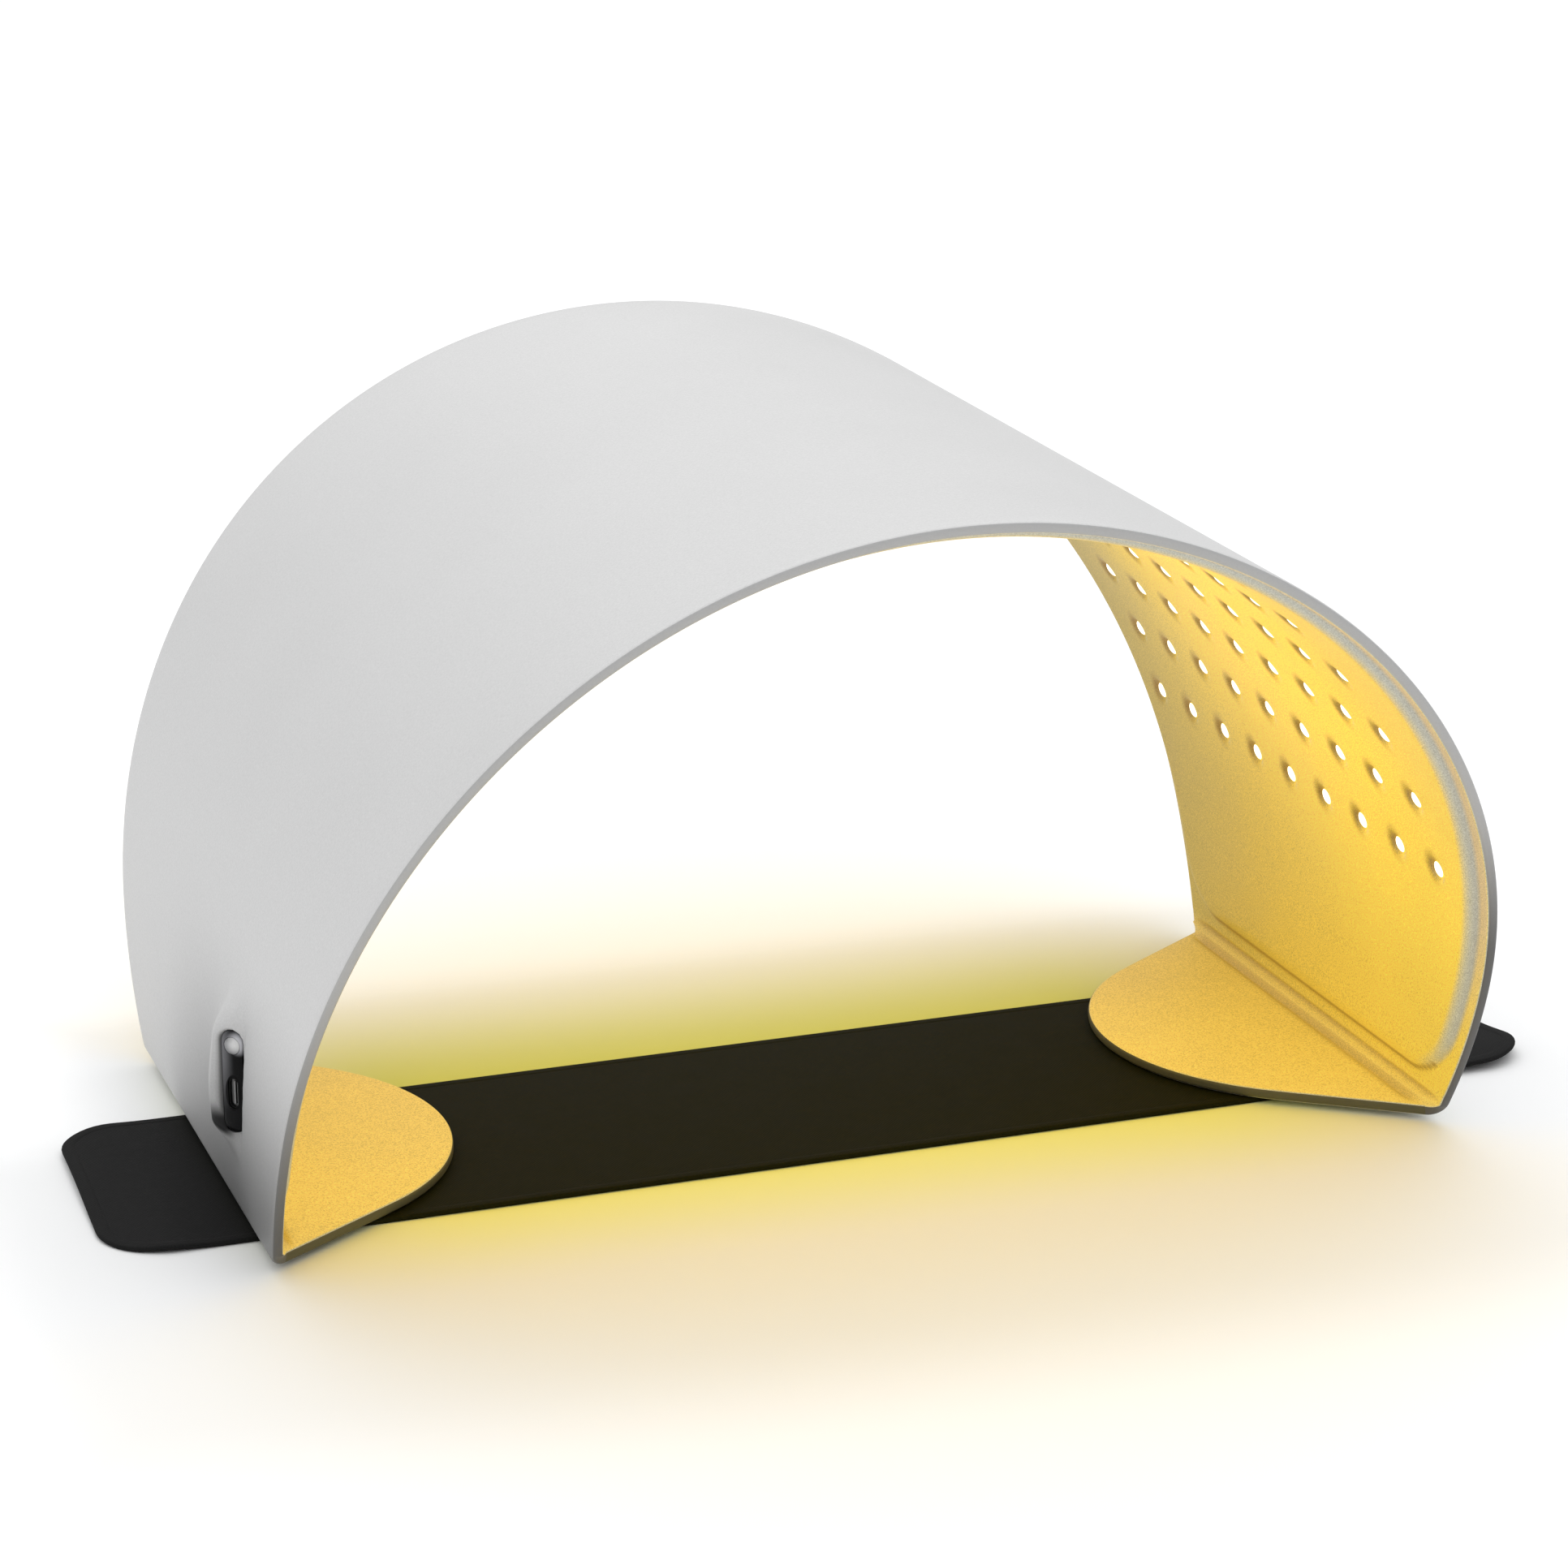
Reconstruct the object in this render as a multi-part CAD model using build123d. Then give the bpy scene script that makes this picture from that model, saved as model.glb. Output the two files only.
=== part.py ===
"""Flexible LED light therapy arch: a silicone sheet that stands on two folded flaps, over a flat strap.

Millimetres, +Z up. The origin lies on the surface that the panel stands on, under the middle of the crown.
+X runs across the span, and -Y is the front. The port is in the left wall (-X), near the front.
"""
import math
import os

from build123d import *

# Arch profile, seen from the front. Headings are degrees from upright, positive where the wall leans in.
arch_width = 360.0
wall_radius = 257.0
wall_start_heading = -6.3
wall_end_heading = 4.0
wall_extra_heading = 8.0

# Arch outline, seen from the side
fold_depth = 178.0
crown_depth = 322.0
rim_radius = 634.0
fold_corner_radius = 3.0

# Layers, each measured inwards from the outer surface of the arch
cover_thickness = 1.5
layer_gap = 0.1
shape_sheet_thickness = 0.4
foam_thickness = 0.9
flex_board_thickness = 0.2
solder_gap = 0.02
emitter_height = 0.8
window_flange_thickness = 0.4
sheet_thickness = 3.3
pad_height = 3.3
pad_skin = 1.9
rim_edge_radius = 1.0

# Raised pad
pad_margin = 6.0
pad_bottom_margin = 11.0
pad_corner_radius = 16.0
pad_wall = 4.0
pad_edge_radius = 2.6
stack_clearance = 1.0

# LED grid
led_column_count = 9
led_column_pitch = 25.4
led_row_count = 20
led_row_first_angle = 16.7
led_zone_margin = 9.0
window_radius = 2.7
window_clearance = 0.1
window_flange_radius = 3.6
dimple_radius = 4.6
dimple_depth = 1.0
emitter_length = 3.5
emitter_width = 2.8

# Flaps
flap_tip_radius = 73.0
flap_face_thickness = 1.3
flap_stiffener_thickness = 0.6
flap_stiffener_inset = 8.0
flap_edge_radius = 0.9
fold_rib_radius = 1.6
fold_rib_inset = 5.0
fold_clearance = 0.3
flap_root_reach = 0.6
hook_patch_length = 44.0
hook_patch_width = 70.0
hook_patch_thickness = 0.7
hook_patch_radius = 6.0
hook_patch_setback = 12.0

# Strap
strap_overhang = 46.0
strap_width = 101.0
strap_corner_radius = 30.0
strap_band_thickness = 1.1
strap_loop_thickness = 0.3
strap_edge_thickness = 1.6
strap_binding_width = 4.0
strap_turn = 1.6
strap_shift_x = 4.0
strap_shift_y = -14.0
strap_rest_gap = 0.3

# Port, set in a hood on the left wall, with its face turned towards the front
port_y = -57.0
port_height = 44.5
port_turn = 45.0
port_proud = 1.5
bezel_length = 30.5
bezel_width = 7.2
bezel_thickness = 2.0
bezel_edge_radius = 0.4
bezel_clearance = 0.1
usb_drop = 3.5
usb_shell_height = 8.94
usb_shell_width = 3.26
usb_shell_wall = 0.3
usb_shell_length = 6.2
usb_shell_setback = 0.3
usb_core_thickness = 1.2
usb_tongue_height = 6.69
usb_tongue_thickness = 0.7
usb_tongue_setback = 0.5
usb_clearance = 0.08
button_rise = 10.6
button_radius = 2.5
button_dome_height = 0.7
button_clearance = 0.15
button_flange_radius = 3.0
button_flange_thickness = 0.4
button_travel = 0.5
switch_height = 5.0
switch_width = 3.6
switch_thickness = 1.2
switch_plunger_radius = 1.0
switch_plunger_height = 0.4
seal_width = 0.45
seal_thickness = 0.7
well_shelf = 0.3
hood_lip = 1.2
hood_run = 24.0
hood_bulge = 1.2
hood_half_height = 23.0
hood_root = 0.8

# Electronics bays, between the pad's bottom and the first LED row
battery_thickness = 2.2
battery_radius = 4.0
battery_wrap_width = 3.0
bay_end_gap = 3.0
board_setback = 11.0
board_width = 16.0
board_thickness = 0.8
board_end_gap = 8.0
chip_thickness = 1.0
chip_size = 5.0
chip_count = 4
tail_thickness = 0.15
tail_width = 8.0
tail_gap = 0.1
bay_foam_thickness = 2.4

# One overrun serves every cut
overrun = 20.0

# Derived heights and offsets
rest_height = strap_edge_thickness + strap_rest_gap
flap_top = rest_height + sheet_thickness
pad_offset = sheet_thickness + pad_height
pad_skin_offset = pad_offset - pad_skin
cavity_offset = cover_thickness + layer_gap
foam_offset = cavity_offset + shape_sheet_thickness + layer_gap
flex_board_offset = foam_offset + foam_thickness + layer_gap
emitter_offset = flex_board_offset + flex_board_thickness + solder_gap
window_flange_offset = pad_skin_offset - layer_gap - window_flange_thickness
window_top_offset = pad_offset - dimple_depth
fold_x = arch_width / 2 - sheet_thickness
inner_face_bottom = flap_top + fold_rib_radius + fold_clearance
pad_bottom = rest_height + pad_bottom_margin
cavity_margin = pad_margin + pad_wall
cavity_bottom = pad_bottom + pad_wall
stack_margin = cavity_margin + stack_clearance
stack_bottom = cavity_bottom + stack_clearance
strap_length = arch_width + 2 * strap_overhang


def sine(degrees):
    return math.sin(math.radians(degrees))


def cosine(degrees):
    return math.cos(math.radians(degrees))


# The crown's arc is tangent to both walls' arcs, and its centre lies on the middle plane
wall_centre_x = wall_radius * cosine(wall_start_heading) - arch_width / 2
wall_centre_z = rest_height - wall_radius * sine(wall_start_heading)
crown_radius = wall_radius - wall_centre_x / cosine(wall_end_heading)
crown_centre_z = wall_centre_z + (wall_radius - crown_radius) * sine(wall_end_heading)
crown_top = crown_centre_z + crown_radius
led_row_step = (180 - 2 * led_row_first_angle) / (led_row_count - 1)
led_zone_bottom = crown_centre_z + crown_radius * sine(led_row_first_angle) - led_zone_margin

# The rim, seen from the side, is one arc from the fold's corner to the crown
rim_chord_y = (crown_depth - fold_depth) / 2
rim_chord_z = crown_top - rest_height
rim_chord = math.hypot(rim_chord_y, rim_chord_z)
rim_sag_reach = math.sqrt(rim_radius**2 - (rim_chord / 2) ** 2)
rim_centre_y = (fold_depth + rim_chord_y) / 2 - rim_sag_reach * rim_chord_z / rim_chord
rim_centre_z = rest_height + rim_chord_z / 2 + rim_sag_reach * rim_chord_y / rim_chord


def profile_point(side, heading, offset):
    """A point of the arch's profile. The side is -1 on the left and 1 on the right."""
    if heading <= wall_end_heading:
        reach = (wall_radius - offset) * cosine(heading) - wall_centre_x
        height = wall_centre_z + (wall_radius - offset) * sine(heading)
    else:
        reach = (crown_radius - offset) * cosine(heading)
        height = crown_centre_z + (crown_radius - offset) * sine(heading)
    return (side * reach, height)


def profile_offset(x, z):
    """How far a point lies inside the arch's outer surface."""
    reach = abs(x)
    heading = math.degrees(math.atan2(z - crown_centre_z, reach))
    if heading > wall_end_heading:
        return crown_radius - math.hypot(reach, z - crown_centre_z)
    return wall_radius - math.hypot(reach + wall_centre_x, z - wall_centre_z)


def rim_y(height, margin):
    """Half the arch's depth at a height, less a margin measured square to the rim."""
    return rim_centre_y + math.sqrt((rim_radius - margin) ** 2 - (height - rim_centre_z) ** 2)


def band(outer_offset, inner_offset):
    """The arch between two offsets from its outer surface, deeper than the arch and lower than its folds."""
    start = wall_start_heading - wall_extra_heading
    middle = (start + wall_end_heading) / 2
    edges = []
    for offset in (outer_offset, inner_offset):
        left_arc = [profile_point(-1, heading, offset) for heading in (start, middle, wall_end_heading)]
        right_arc = [profile_point(1, heading, offset) for heading in (start, middle, wall_end_heading)]
        crown = profile_point(1, 90, offset)
        edges.append(ThreePointArc(*left_arc))
        edges.append(ThreePointArc(left_arc[-1], crown, right_arc[-1]))
        edges.append(ThreePointArc(*right_arc))
    for side in (-1, 1):
        edges.append(Line(profile_point(side, start, outer_offset), profile_point(side, start, inner_offset)))
    return extrude(Plane.XZ * make_face(edges), amount=crown_depth / 2 + overrun, both=True)


def outline(margin, bottom, corner_radius):
    """The arch's outline seen from the side, inside a margin and above a height, cut through the span."""
    top = crown_top + overrun
    middle = (bottom + top) / 2
    edges = [Line((-rim_y(bottom, margin), bottom), (rim_y(bottom, margin), bottom)),
             Line((-rim_y(top, margin), top), (rim_y(top, margin), top))]
    for side in (-1, 1):
        edges.append(ThreePointArc(*[(side * rim_y(height, margin), height) for height in (bottom, middle, top)]))
    face = make_face(edges)
    low_corners = face.vertices().group_by(Axis.Y)[0]
    return extrude(Plane.YZ * fillet(low_corners, corner_radius), amount=arch_width / 2 + overrun, both=True)


def arch_layer(outer_offset, inner_offset, margin, bottom, corner_radius):
    """One layer of the arch."""
    return band(outer_offset, inner_offset) & outline(margin, bottom, corner_radius)


def wall_patch(side, outer_offset, inner_offset, low_y, high_y, low_z, high_z, corner_radius):
    """A rounded rectangle of one layer, in the left wall (-1) or the right one (1)."""
    reach = arch_width / 2 + overrun
    rectangle = RectangleRounded(high_y - low_y, high_z - low_z, corner_radius)
    place = Plane.YZ * Pos((low_y + high_y) / 2, (low_z + high_z) / 2)
    return band(outer_offset, inner_offset) & extrude(place * rectangle, amount=side * reach)


def on_surface(solid, offset, tolerance=0.01):
    """The outer edges of a layer that lie on one of its curved faces."""
    chosen = []
    for edge in solid.edges():
        middle = edge.position_at(0.5)
        seam = edge.geom_type == GeomType.LINE and middle.Z > pad_bottom + pad_height
        if not seam and abs(profile_offset(middle.X, middle.Z) - offset) < tolerance:
            chosen.append(edge)
    return chosen


# Port frame: local x towards its front edge, local y up, local z out of the port
port_z = rest_height + port_height
port_wall_x = wall_centre_x - math.sqrt(wall_radius**2 - (port_z - wall_centre_z) ** 2)
port_plane = Plane(
    origin=(port_wall_x - port_proud, port_y, port_z),
    x_dir=(sine(port_turn), -cosine(port_turn), 0),
    z_dir=(-cosine(port_turn), -sine(port_turn), 0),
)
usb_place = port_plane * Pos(0, -usb_drop)
button_place = port_plane * Pos(0, button_rise)
seal_back = bezel_thickness + layer_gap + seal_thickness
usb_back = usb_shell_setback + usb_shell_length


def upright_slot(place, length, width, low, high):
    """A slot standing on its end in the port frame, between two levels."""
    return extrude(place * Pos(0, 0, low) * SlotOverall(length, width, rotation=90), amount=high - low)


def port_pocket():
    """The space that the port's pieces take in the silicone."""
    pocket_length = bezel_length + 2 * bezel_clearance
    pocket_width = bezel_width + 2 * bezel_clearance
    pocket = upright_slot(port_plane, pocket_length, pocket_width, -seal_back, overrun)
    well_length = bezel_length - 2 * well_shelf
    well_width = bezel_width - 2 * well_shelf
    return pocket + upright_slot(port_plane, well_length, well_width, -usb_back - layer_gap, overrun)


def port_hood():
    """The swell behind the port, which rises to its back edge and fades into the wall."""
    back_edge = bezel_width / 2 + hood_lip
    rise = port_proud + back_edge * sine(port_turn)
    crest = (port_wall_x - rise, port_y + back_edge * cosine(port_turn))
    front = (port_wall_x, port_y - port_proud * cosine(port_turn) / sine(port_turn))
    tail = (port_wall_x, crest[1] + hood_run)
    middle = ((crest[0] + tail[0]) / 2 - hood_bulge, (crest[1] + tail[1]) / 2)
    root_x = port_wall_x + hood_root
    edges = [Line(front, crest), ThreePointArc(crest, middle, tail), Line(tail, (root_x, tail[1])),
             Line((root_x, tail[1]), (root_x, front[1])), Line((root_x, front[1]), front)]
    prism = extrude(Pos(0, 0, port_z) * make_face(edges), amount=hood_half_height, both=True)
    dome_radius = (hood_half_height**2 + rise**2) / (2 * rise)
    dome = Plane.XZ * Pos(port_wall_x - rise + dome_radius, port_z) * Circle(dome_radius)
    return prism & extrude(dome, amount=crown_depth, both=True)


def outer_cover():
    cover = arch_layer(0, cover_thickness, 0, rest_height, fold_corner_radius)
    cover = fillet(on_surface(cover, 0), rim_edge_radius)
    return cover + port_hood() - port_pocket()


def led_plane(row, column, offset):
    """The plane of one LED. Local z points inwards. Row 0 is the lowest on the right wall."""
    angle = led_row_first_angle + row * led_row_step
    reach = crown_radius - offset
    y = (column - (led_column_count - 1) / 2) * led_column_pitch
    origin = (reach * cosine(angle), y, crown_centre_z + reach * sine(angle))
    return Plane(origin=origin, x_dir=(0, 1, 0), z_dir=(-cosine(angle), 0, -sine(angle)))


def led_places(offset, rows=range(led_row_count)):
    return [led_plane(row, column, offset) for row in rows for column in range(led_column_count)]


def dimple_cutter():
    """The hole and dimple for one window, seen from the window flange's outer face."""
    hole_radius = window_radius + window_clearance
    ledge = window_top_offset - window_flange_offset
    surface = pad_offset - window_flange_offset
    points = [(0, 0), (hole_radius, 0), (hole_radius, ledge), (dimple_radius, surface),
              (dimple_radius, surface + pad_height), (0, surface + pad_height)]
    return revolve(Plane.XZ * make_face(Polyline(*points, close=True)), Axis.Z)


def window():
    """One clear window: a flange behind the pad's skin, and a stem that fills the hole."""
    top = window_top_offset - window_flange_offset
    points = [(0, 0), (window_flange_radius, 0), (window_flange_radius, window_flange_thickness),
              (window_radius, window_flange_thickness), (window_radius, top), (0, top)]
    return revolve(Plane.XZ * make_face(Polyline(*points, close=True)), Axis.Z)


def inner_face():
    """The inner skin: a flange that meets the outer cover, and the raised pad over a hollow."""
    flange = arch_layer(cavity_offset, sheet_thickness, 0, inner_face_bottom, fold_corner_radius)
    flange = fillet(on_surface(flange, sheet_thickness), rim_edge_radius)
    pad = arch_layer(sheet_thickness - layer_gap, pad_offset, pad_margin, pad_bottom, pad_corner_radius)
    pad = fillet(on_surface(pad, pad_offset), pad_edge_radius)
    hollow = arch_layer(cavity_offset - layer_gap, pad_skin_offset, cavity_margin, cavity_bottom,
                        pad_corner_radius - pad_wall)
    skin = flange + pad - hollow
    cutter = dimple_cutter()
    return skin - [place * cutter for place in led_places(window_flange_offset)] - port_pocket()


def stack_layer(offset, thickness, bottom):
    return arch_layer(offset, offset + thickness, stack_margin, bottom, pad_corner_radius - pad_wall)


def led_windows(row):
    shape = window()
    return Compound([place * shape for place in led_places(window_flange_offset, [row])])


def led_emitters():
    package = Pos(0, 0, emitter_height / 2) * Box(emitter_length, emitter_width, emitter_height)
    return Compound([place * package for place in led_places(emitter_offset)])


def bay_half_depth():
    """Half the room front to back for what lies in a wall's bay."""
    return rim_y(stack_bottom, stack_margin) - bay_end_gap


def left_bay():
    """The battery, its foam frame, the driver board with its chips, and the two ribbons."""
    low_z = stack_bottom + bay_end_gap
    high_z = led_zone_bottom - bay_end_gap
    wrap = battery_wrap_width
    board_low_y = port_y + board_setback
    board_high_y = board_low_y + board_width
    battery_low_y = board_high_y + bay_end_gap + wrap
    battery_high_y = bay_half_depth() - wrap
    battery = wall_patch(-1, foam_offset, foam_offset + battery_thickness, battery_low_y, battery_high_y,
                         low_z, high_z, battery_radius)
    frame = wall_patch(-1, foam_offset, foam_offset + battery_thickness, battery_low_y - wrap,
                       battery_high_y + wrap, low_z - wrap, high_z + wrap, battery_radius + wrap)
    opening = wall_patch(-1, cavity_offset, pad_skin_offset, battery_low_y - layer_gap,
                         battery_high_y + layer_gap, low_z - layer_gap, high_z + layer_gap,
                         battery_radius + layer_gap)
    board_back = foam_offset + board_thickness
    board_bottom = stack_bottom + board_end_gap
    board_top = led_zone_bottom - board_end_gap
    board = wall_patch(-1, foam_offset, board_back, board_low_y, board_high_y, board_bottom, board_top,
                       chip_size / 4)
    chips = []
    board_middle_y = (board_low_y + board_high_y) / 2
    chip_pitch = (board_top - tail_width / 2 - board_bottom) / chip_count
    for index in range(chip_count):
        chip_z = board_bottom + (index + 1 / 2) * chip_pitch
        chips.append(wall_patch(-1, board_back, board_back + chip_thickness, board_middle_y - chip_size / 2,
                                board_middle_y + chip_size / 2, chip_z - chip_size / 2,
                                chip_z + chip_size / 2, chip_size / 8))
    ribbon_low = board_back + tail_gap
    flex_tail = wall_patch(-1, ribbon_low, ribbon_low + tail_thickness, board_middle_y - tail_width / 2,
                           board_middle_y + tail_width / 2, board_top - tail_width / 2,
                           led_zone_bottom - tail_gap, tail_width / 8)
    shell_end_y = port_y + usb_back * sine(port_turn) + usb_shell_width / 2 * cosine(port_turn)
    ribbon_z = port_z - usb_drop
    port_tail = wall_patch(-1, ribbon_low, ribbon_low + tail_thickness, shell_end_y + tail_gap,
                           board_low_y + tail_width / 2, ribbon_z - tail_width / 2,
                           ribbon_z + tail_width / 2, tail_width / 8)
    return {"battery_cell": battery, "battery_wrap": frame - opening, "driver_board": board,
            "driver_chips": Compound(chips), "flex_tail": flex_tail, "port_tail": port_tail}


def bay_foam():
    return wall_patch(1, foam_offset, foam_offset + bay_foam_thickness, -bay_half_depth(),
                      bay_half_depth(), stack_bottom + bay_end_gap, led_zone_bottom - bay_end_gap,
                      battery_radius)


def port_bezel():
    body = upright_slot(port_plane, bezel_length, bezel_width, -bezel_thickness, 0)
    front_edges = body.faces().sort_by(Axis(port_plane.location))[-1].edges()
    body = fillet(front_edges, bezel_edge_radius)
    socket_height = usb_shell_height + 2 * usb_clearance
    socket_width = usb_shell_width + 2 * usb_clearance
    socket = upright_slot(usb_place, socket_height, socket_width, -overrun, overrun)
    button_hole = extrude(button_place * Circle(button_radius + button_clearance), amount=overrun, both=True)
    return body - socket - button_hole


def port_seal():
    outer = upright_slot(port_plane, bezel_length, bezel_width, -seal_back, -bezel_thickness - layer_gap)
    inner = upright_slot(port_plane, bezel_length - 2 * seal_width, bezel_width - 2 * seal_width,
                         -overrun, overrun)
    return outer - inner


def usb_shell():
    tube = upright_slot(usb_place, usb_shell_height, usb_shell_width, -usb_back, -usb_shell_setback)
    bore = upright_slot(usb_place, usb_shell_height - 2 * usb_shell_wall,
                        usb_shell_width - 2 * usb_shell_wall, -overrun, overrun)
    return tube - bore


def usb_tongue():
    core_height = usb_shell_height - 2 * usb_shell_wall - 2 * usb_clearance
    core_width = usb_shell_width - 2 * usb_shell_wall - 2 * usb_clearance
    core = upright_slot(usb_place, core_height, core_width, -usb_back, -usb_back + usb_core_thickness)
    root = -usb_back + usb_core_thickness / 2
    tip = -usb_shell_setback - usb_tongue_setback
    tongue = Rectangle(usb_tongue_thickness, usb_tongue_height)
    return core + extrude(usb_place * Pos(0, 0, root) * tongue, amount=tip - root)


def button_cap():
    """The domed cap, its stem through the bezel and the flange that keeps it in."""
    flange_top = -bezel_thickness - layer_gap
    flange_bottom = flange_top - button_flange_thickness
    shaft = Polyline((0, flange_bottom), (button_flange_radius, flange_bottom),
                     (button_flange_radius, flange_top), (button_radius, flange_top), (button_radius, 0))
    dome_radius = (button_radius**2 + button_dome_height**2) / (2 * button_dome_height)
    dome_middle = math.asin(button_radius / dome_radius) / 2
    shoulder = (dome_radius * math.sin(dome_middle),
                button_dome_height - dome_radius * (1 - math.cos(dome_middle)))
    dome = ThreePointArc((button_radius, 0), shoulder, (0, button_dome_height))
    axis_line = Line((0, button_dome_height), (0, flange_bottom))
    return button_place * revolve(Plane.XZ * make_face([*shaft.edges(), dome, axis_line]), Axis.Z)


def button_switch():
    flange_bottom = bezel_thickness + layer_gap + button_flange_thickness
    plunger_top = -flange_bottom - button_travel - layer_gap
    body_top = plunger_top - switch_plunger_height
    place = button_place * Pos(0, 0, body_top)
    body = extrude(place * Rectangle(switch_width, switch_height), amount=-switch_thickness)
    return body + extrude(place * Circle(switch_plunger_radius), amount=switch_plunger_height)


def flap_plan():
    """The left flap seen from above: a round tip, and flared sides up to the arch's fold."""
    half_fold = fold_depth / 2
    flare = math.acos(flap_tip_radius / half_fold)
    centre_x = -arch_width / 2
    tangent_x = centre_x + flap_tip_radius * math.sin(flare)
    tangent_y = flap_tip_radius * math.cos(flare)
    edges = [ThreePointArc((tangent_x, tangent_y), (centre_x + flap_tip_radius, 0), (tangent_x, -tangent_y)),
             Line((centre_x, -half_fold), (centre_x, half_fold))]
    for side in (-1, 1):
        edges.append(Line((centre_x, side * half_fold), (tangent_x, side * tangent_y)))
    return make_face(edges)


def flap_plate(inset, bottom, top):
    """The flap between two heights, inside an inset, from its root inwards."""
    root_x = -fold_x - flap_root_reach + inset
    plan = flap_plan()
    if inset > 0:
        plan = offset(plan, amount=-inset)
    plate = extrude(Pos(0, 0, bottom) * plan, amount=top - bottom)
    keep = Pos(root_x + arch_width / 2, 0, 0) * Box(arch_width, crown_depth, crown_top)
    return plate & keep


def side_edges(plate, height):
    """The edges of a flap's plate at a height, without the one at its root."""
    level = plate.edges().filter_by(lambda edge: abs(edge.center().Z - height) < layer_gap)
    return level.sort_by(Axis.X)[1:]


def flap_pieces():
    """The left flap's pieces, by name."""
    face_bottom = flap_top - flap_face_thickness
    cover_top = face_bottom - layer_gap
    pocket_floor = cover_top - flap_stiffener_thickness - layer_gap
    face = flap_plate(0, face_bottom, flap_top)
    face = fillet(side_edges(face, flap_top), flap_edge_radius)
    rib_length = fold_depth - 2 * fold_rib_inset
    rib = Plane.XZ * Pos(-fold_x, flap_top) * Circle(fold_rib_radius)
    face = face + extrude(rib, amount=rib_length / 2, both=True)
    rib_room = Plane.XZ * Pos(-fold_x, flap_top) * Circle(fold_rib_radius + fold_clearance)
    cover = flap_plate(0, rest_height, cover_top)
    cover = fillet(side_edges(cover, rest_height), flap_edge_radius)
    cover = cover - flap_plate(flap_stiffener_inset - layer_gap, pocket_floor, cover_top + overrun)
    cover = cover - extrude(rib_room, amount=fold_depth, both=True)
    patch_x = -fold_x + hook_patch_setback + hook_patch_length / 2
    patch_place = Pos(patch_x, 0, rest_height)
    recess = RectangleRounded(hook_patch_length + 2 * layer_gap, hook_patch_width + 2 * layer_gap,
                              hook_patch_radius + layer_gap)
    cover = cover - extrude(patch_place * recess, amount=hook_patch_thickness + layer_gap)
    cover = cover - extrude(patch_place * recess, amount=-overrun)
    patch = RectangleRounded(hook_patch_length, hook_patch_width, hook_patch_radius)
    stiffener = flap_plate(flap_stiffener_inset, pocket_floor, pocket_floor + flap_stiffener_thickness)
    return {"flap_face": face, "flap_cover": cover, "flap_stiffener": stiffener,
            "hook_patch": extrude(patch_place * patch, amount=hook_patch_thickness)}


def strap_plate(inset, bottom, top):
    """The strap between two heights, inside an inset."""
    plan = RectangleRounded(strap_length - 2 * inset, strap_width - 2 * inset, strap_corner_radius - inset)
    place = Pos(strap_shift_x, strap_shift_y, bottom) * Rot(0, 0, strap_turn)
    return extrude(place * plan, amount=top - bottom)


def strap_pieces():
    inner = strap_binding_width
    loop_bottom = strap_band_thickness + layer_gap
    binding = strap_plate(0, 0, strap_edge_thickness) - strap_plate(inner, -overrun, overrun)
    return {"strap_binding": binding,
            "strap_band": strap_plate(inner + layer_gap, 0, strap_band_thickness),
            "strap_loop_face": strap_plate(inner + layer_gap, loop_bottom, loop_bottom + strap_loop_thickness)}


def all_pieces():
    well = port_pocket()
    pieces = {
        "outer_cover": outer_cover(),
        "inner_face": inner_face(),
        "shape_sheet": stack_layer(cavity_offset, shape_sheet_thickness, stack_bottom) - well,
        "foam_spacer": stack_layer(foam_offset, foam_thickness, led_zone_bottom),
        "led_flex_board": stack_layer(flex_board_offset, flex_board_thickness, led_zone_bottom),
        "led_emitters": led_emitters(),
        "bay_foam": bay_foam(),
        "port_bezel": port_bezel(),
        "port_seal": port_seal(),
        "usb_c_shell": usb_shell(),
        "usb_c_tongue": usb_tongue(),
        "button_switch": button_switch(),
        "button_cap": button_cap(),
    }
    for row in range(led_row_count):
        pieces[f"led_window_row_{row + 1:02d}"] = led_windows(row)
    pieces.update(left_bay())
    for name, shape in flap_pieces().items():
        pieces[f"left_{name}"] = shape
        pieces[f"right_{name}"] = mirror(shape, Plane.YZ)
    pieces.update(strap_pieces())
    return pieces


os.makedirs("parts", exist_ok=True)
for node, shape in all_pieces().items():
    export_step(shape, f"parts/{node}.step")
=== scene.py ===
"""Looks of a flexible LED light therapy arch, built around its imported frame.

Metres, +Z up. -Y is the front, and the port is in the left wall, at -X."""
import math

import bmesh
import bpy
from bpy.props import FloatProperty, FloatVectorProperty, IntProperty, PointerProperty
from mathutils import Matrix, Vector


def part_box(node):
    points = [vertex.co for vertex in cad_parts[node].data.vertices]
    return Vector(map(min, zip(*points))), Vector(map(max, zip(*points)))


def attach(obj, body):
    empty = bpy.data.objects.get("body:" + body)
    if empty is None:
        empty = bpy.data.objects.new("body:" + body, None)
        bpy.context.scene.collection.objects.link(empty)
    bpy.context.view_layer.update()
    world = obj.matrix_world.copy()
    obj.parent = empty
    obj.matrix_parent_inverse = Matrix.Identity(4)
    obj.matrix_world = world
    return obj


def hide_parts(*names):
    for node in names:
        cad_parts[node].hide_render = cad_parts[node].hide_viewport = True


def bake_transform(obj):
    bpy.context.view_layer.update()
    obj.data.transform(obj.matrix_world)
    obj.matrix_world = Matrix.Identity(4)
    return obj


bl_info = {
    "name": "LED light therapy arch",
    "version": (1, 0, 0),
    "blender": (4, 5, 0),
    "location": "3D View > Sidebar > Light Arch",
    "description": "Builds the looks of a flexible LED light therapy arch around its packed frame",
    "category": "Object",
}

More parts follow.
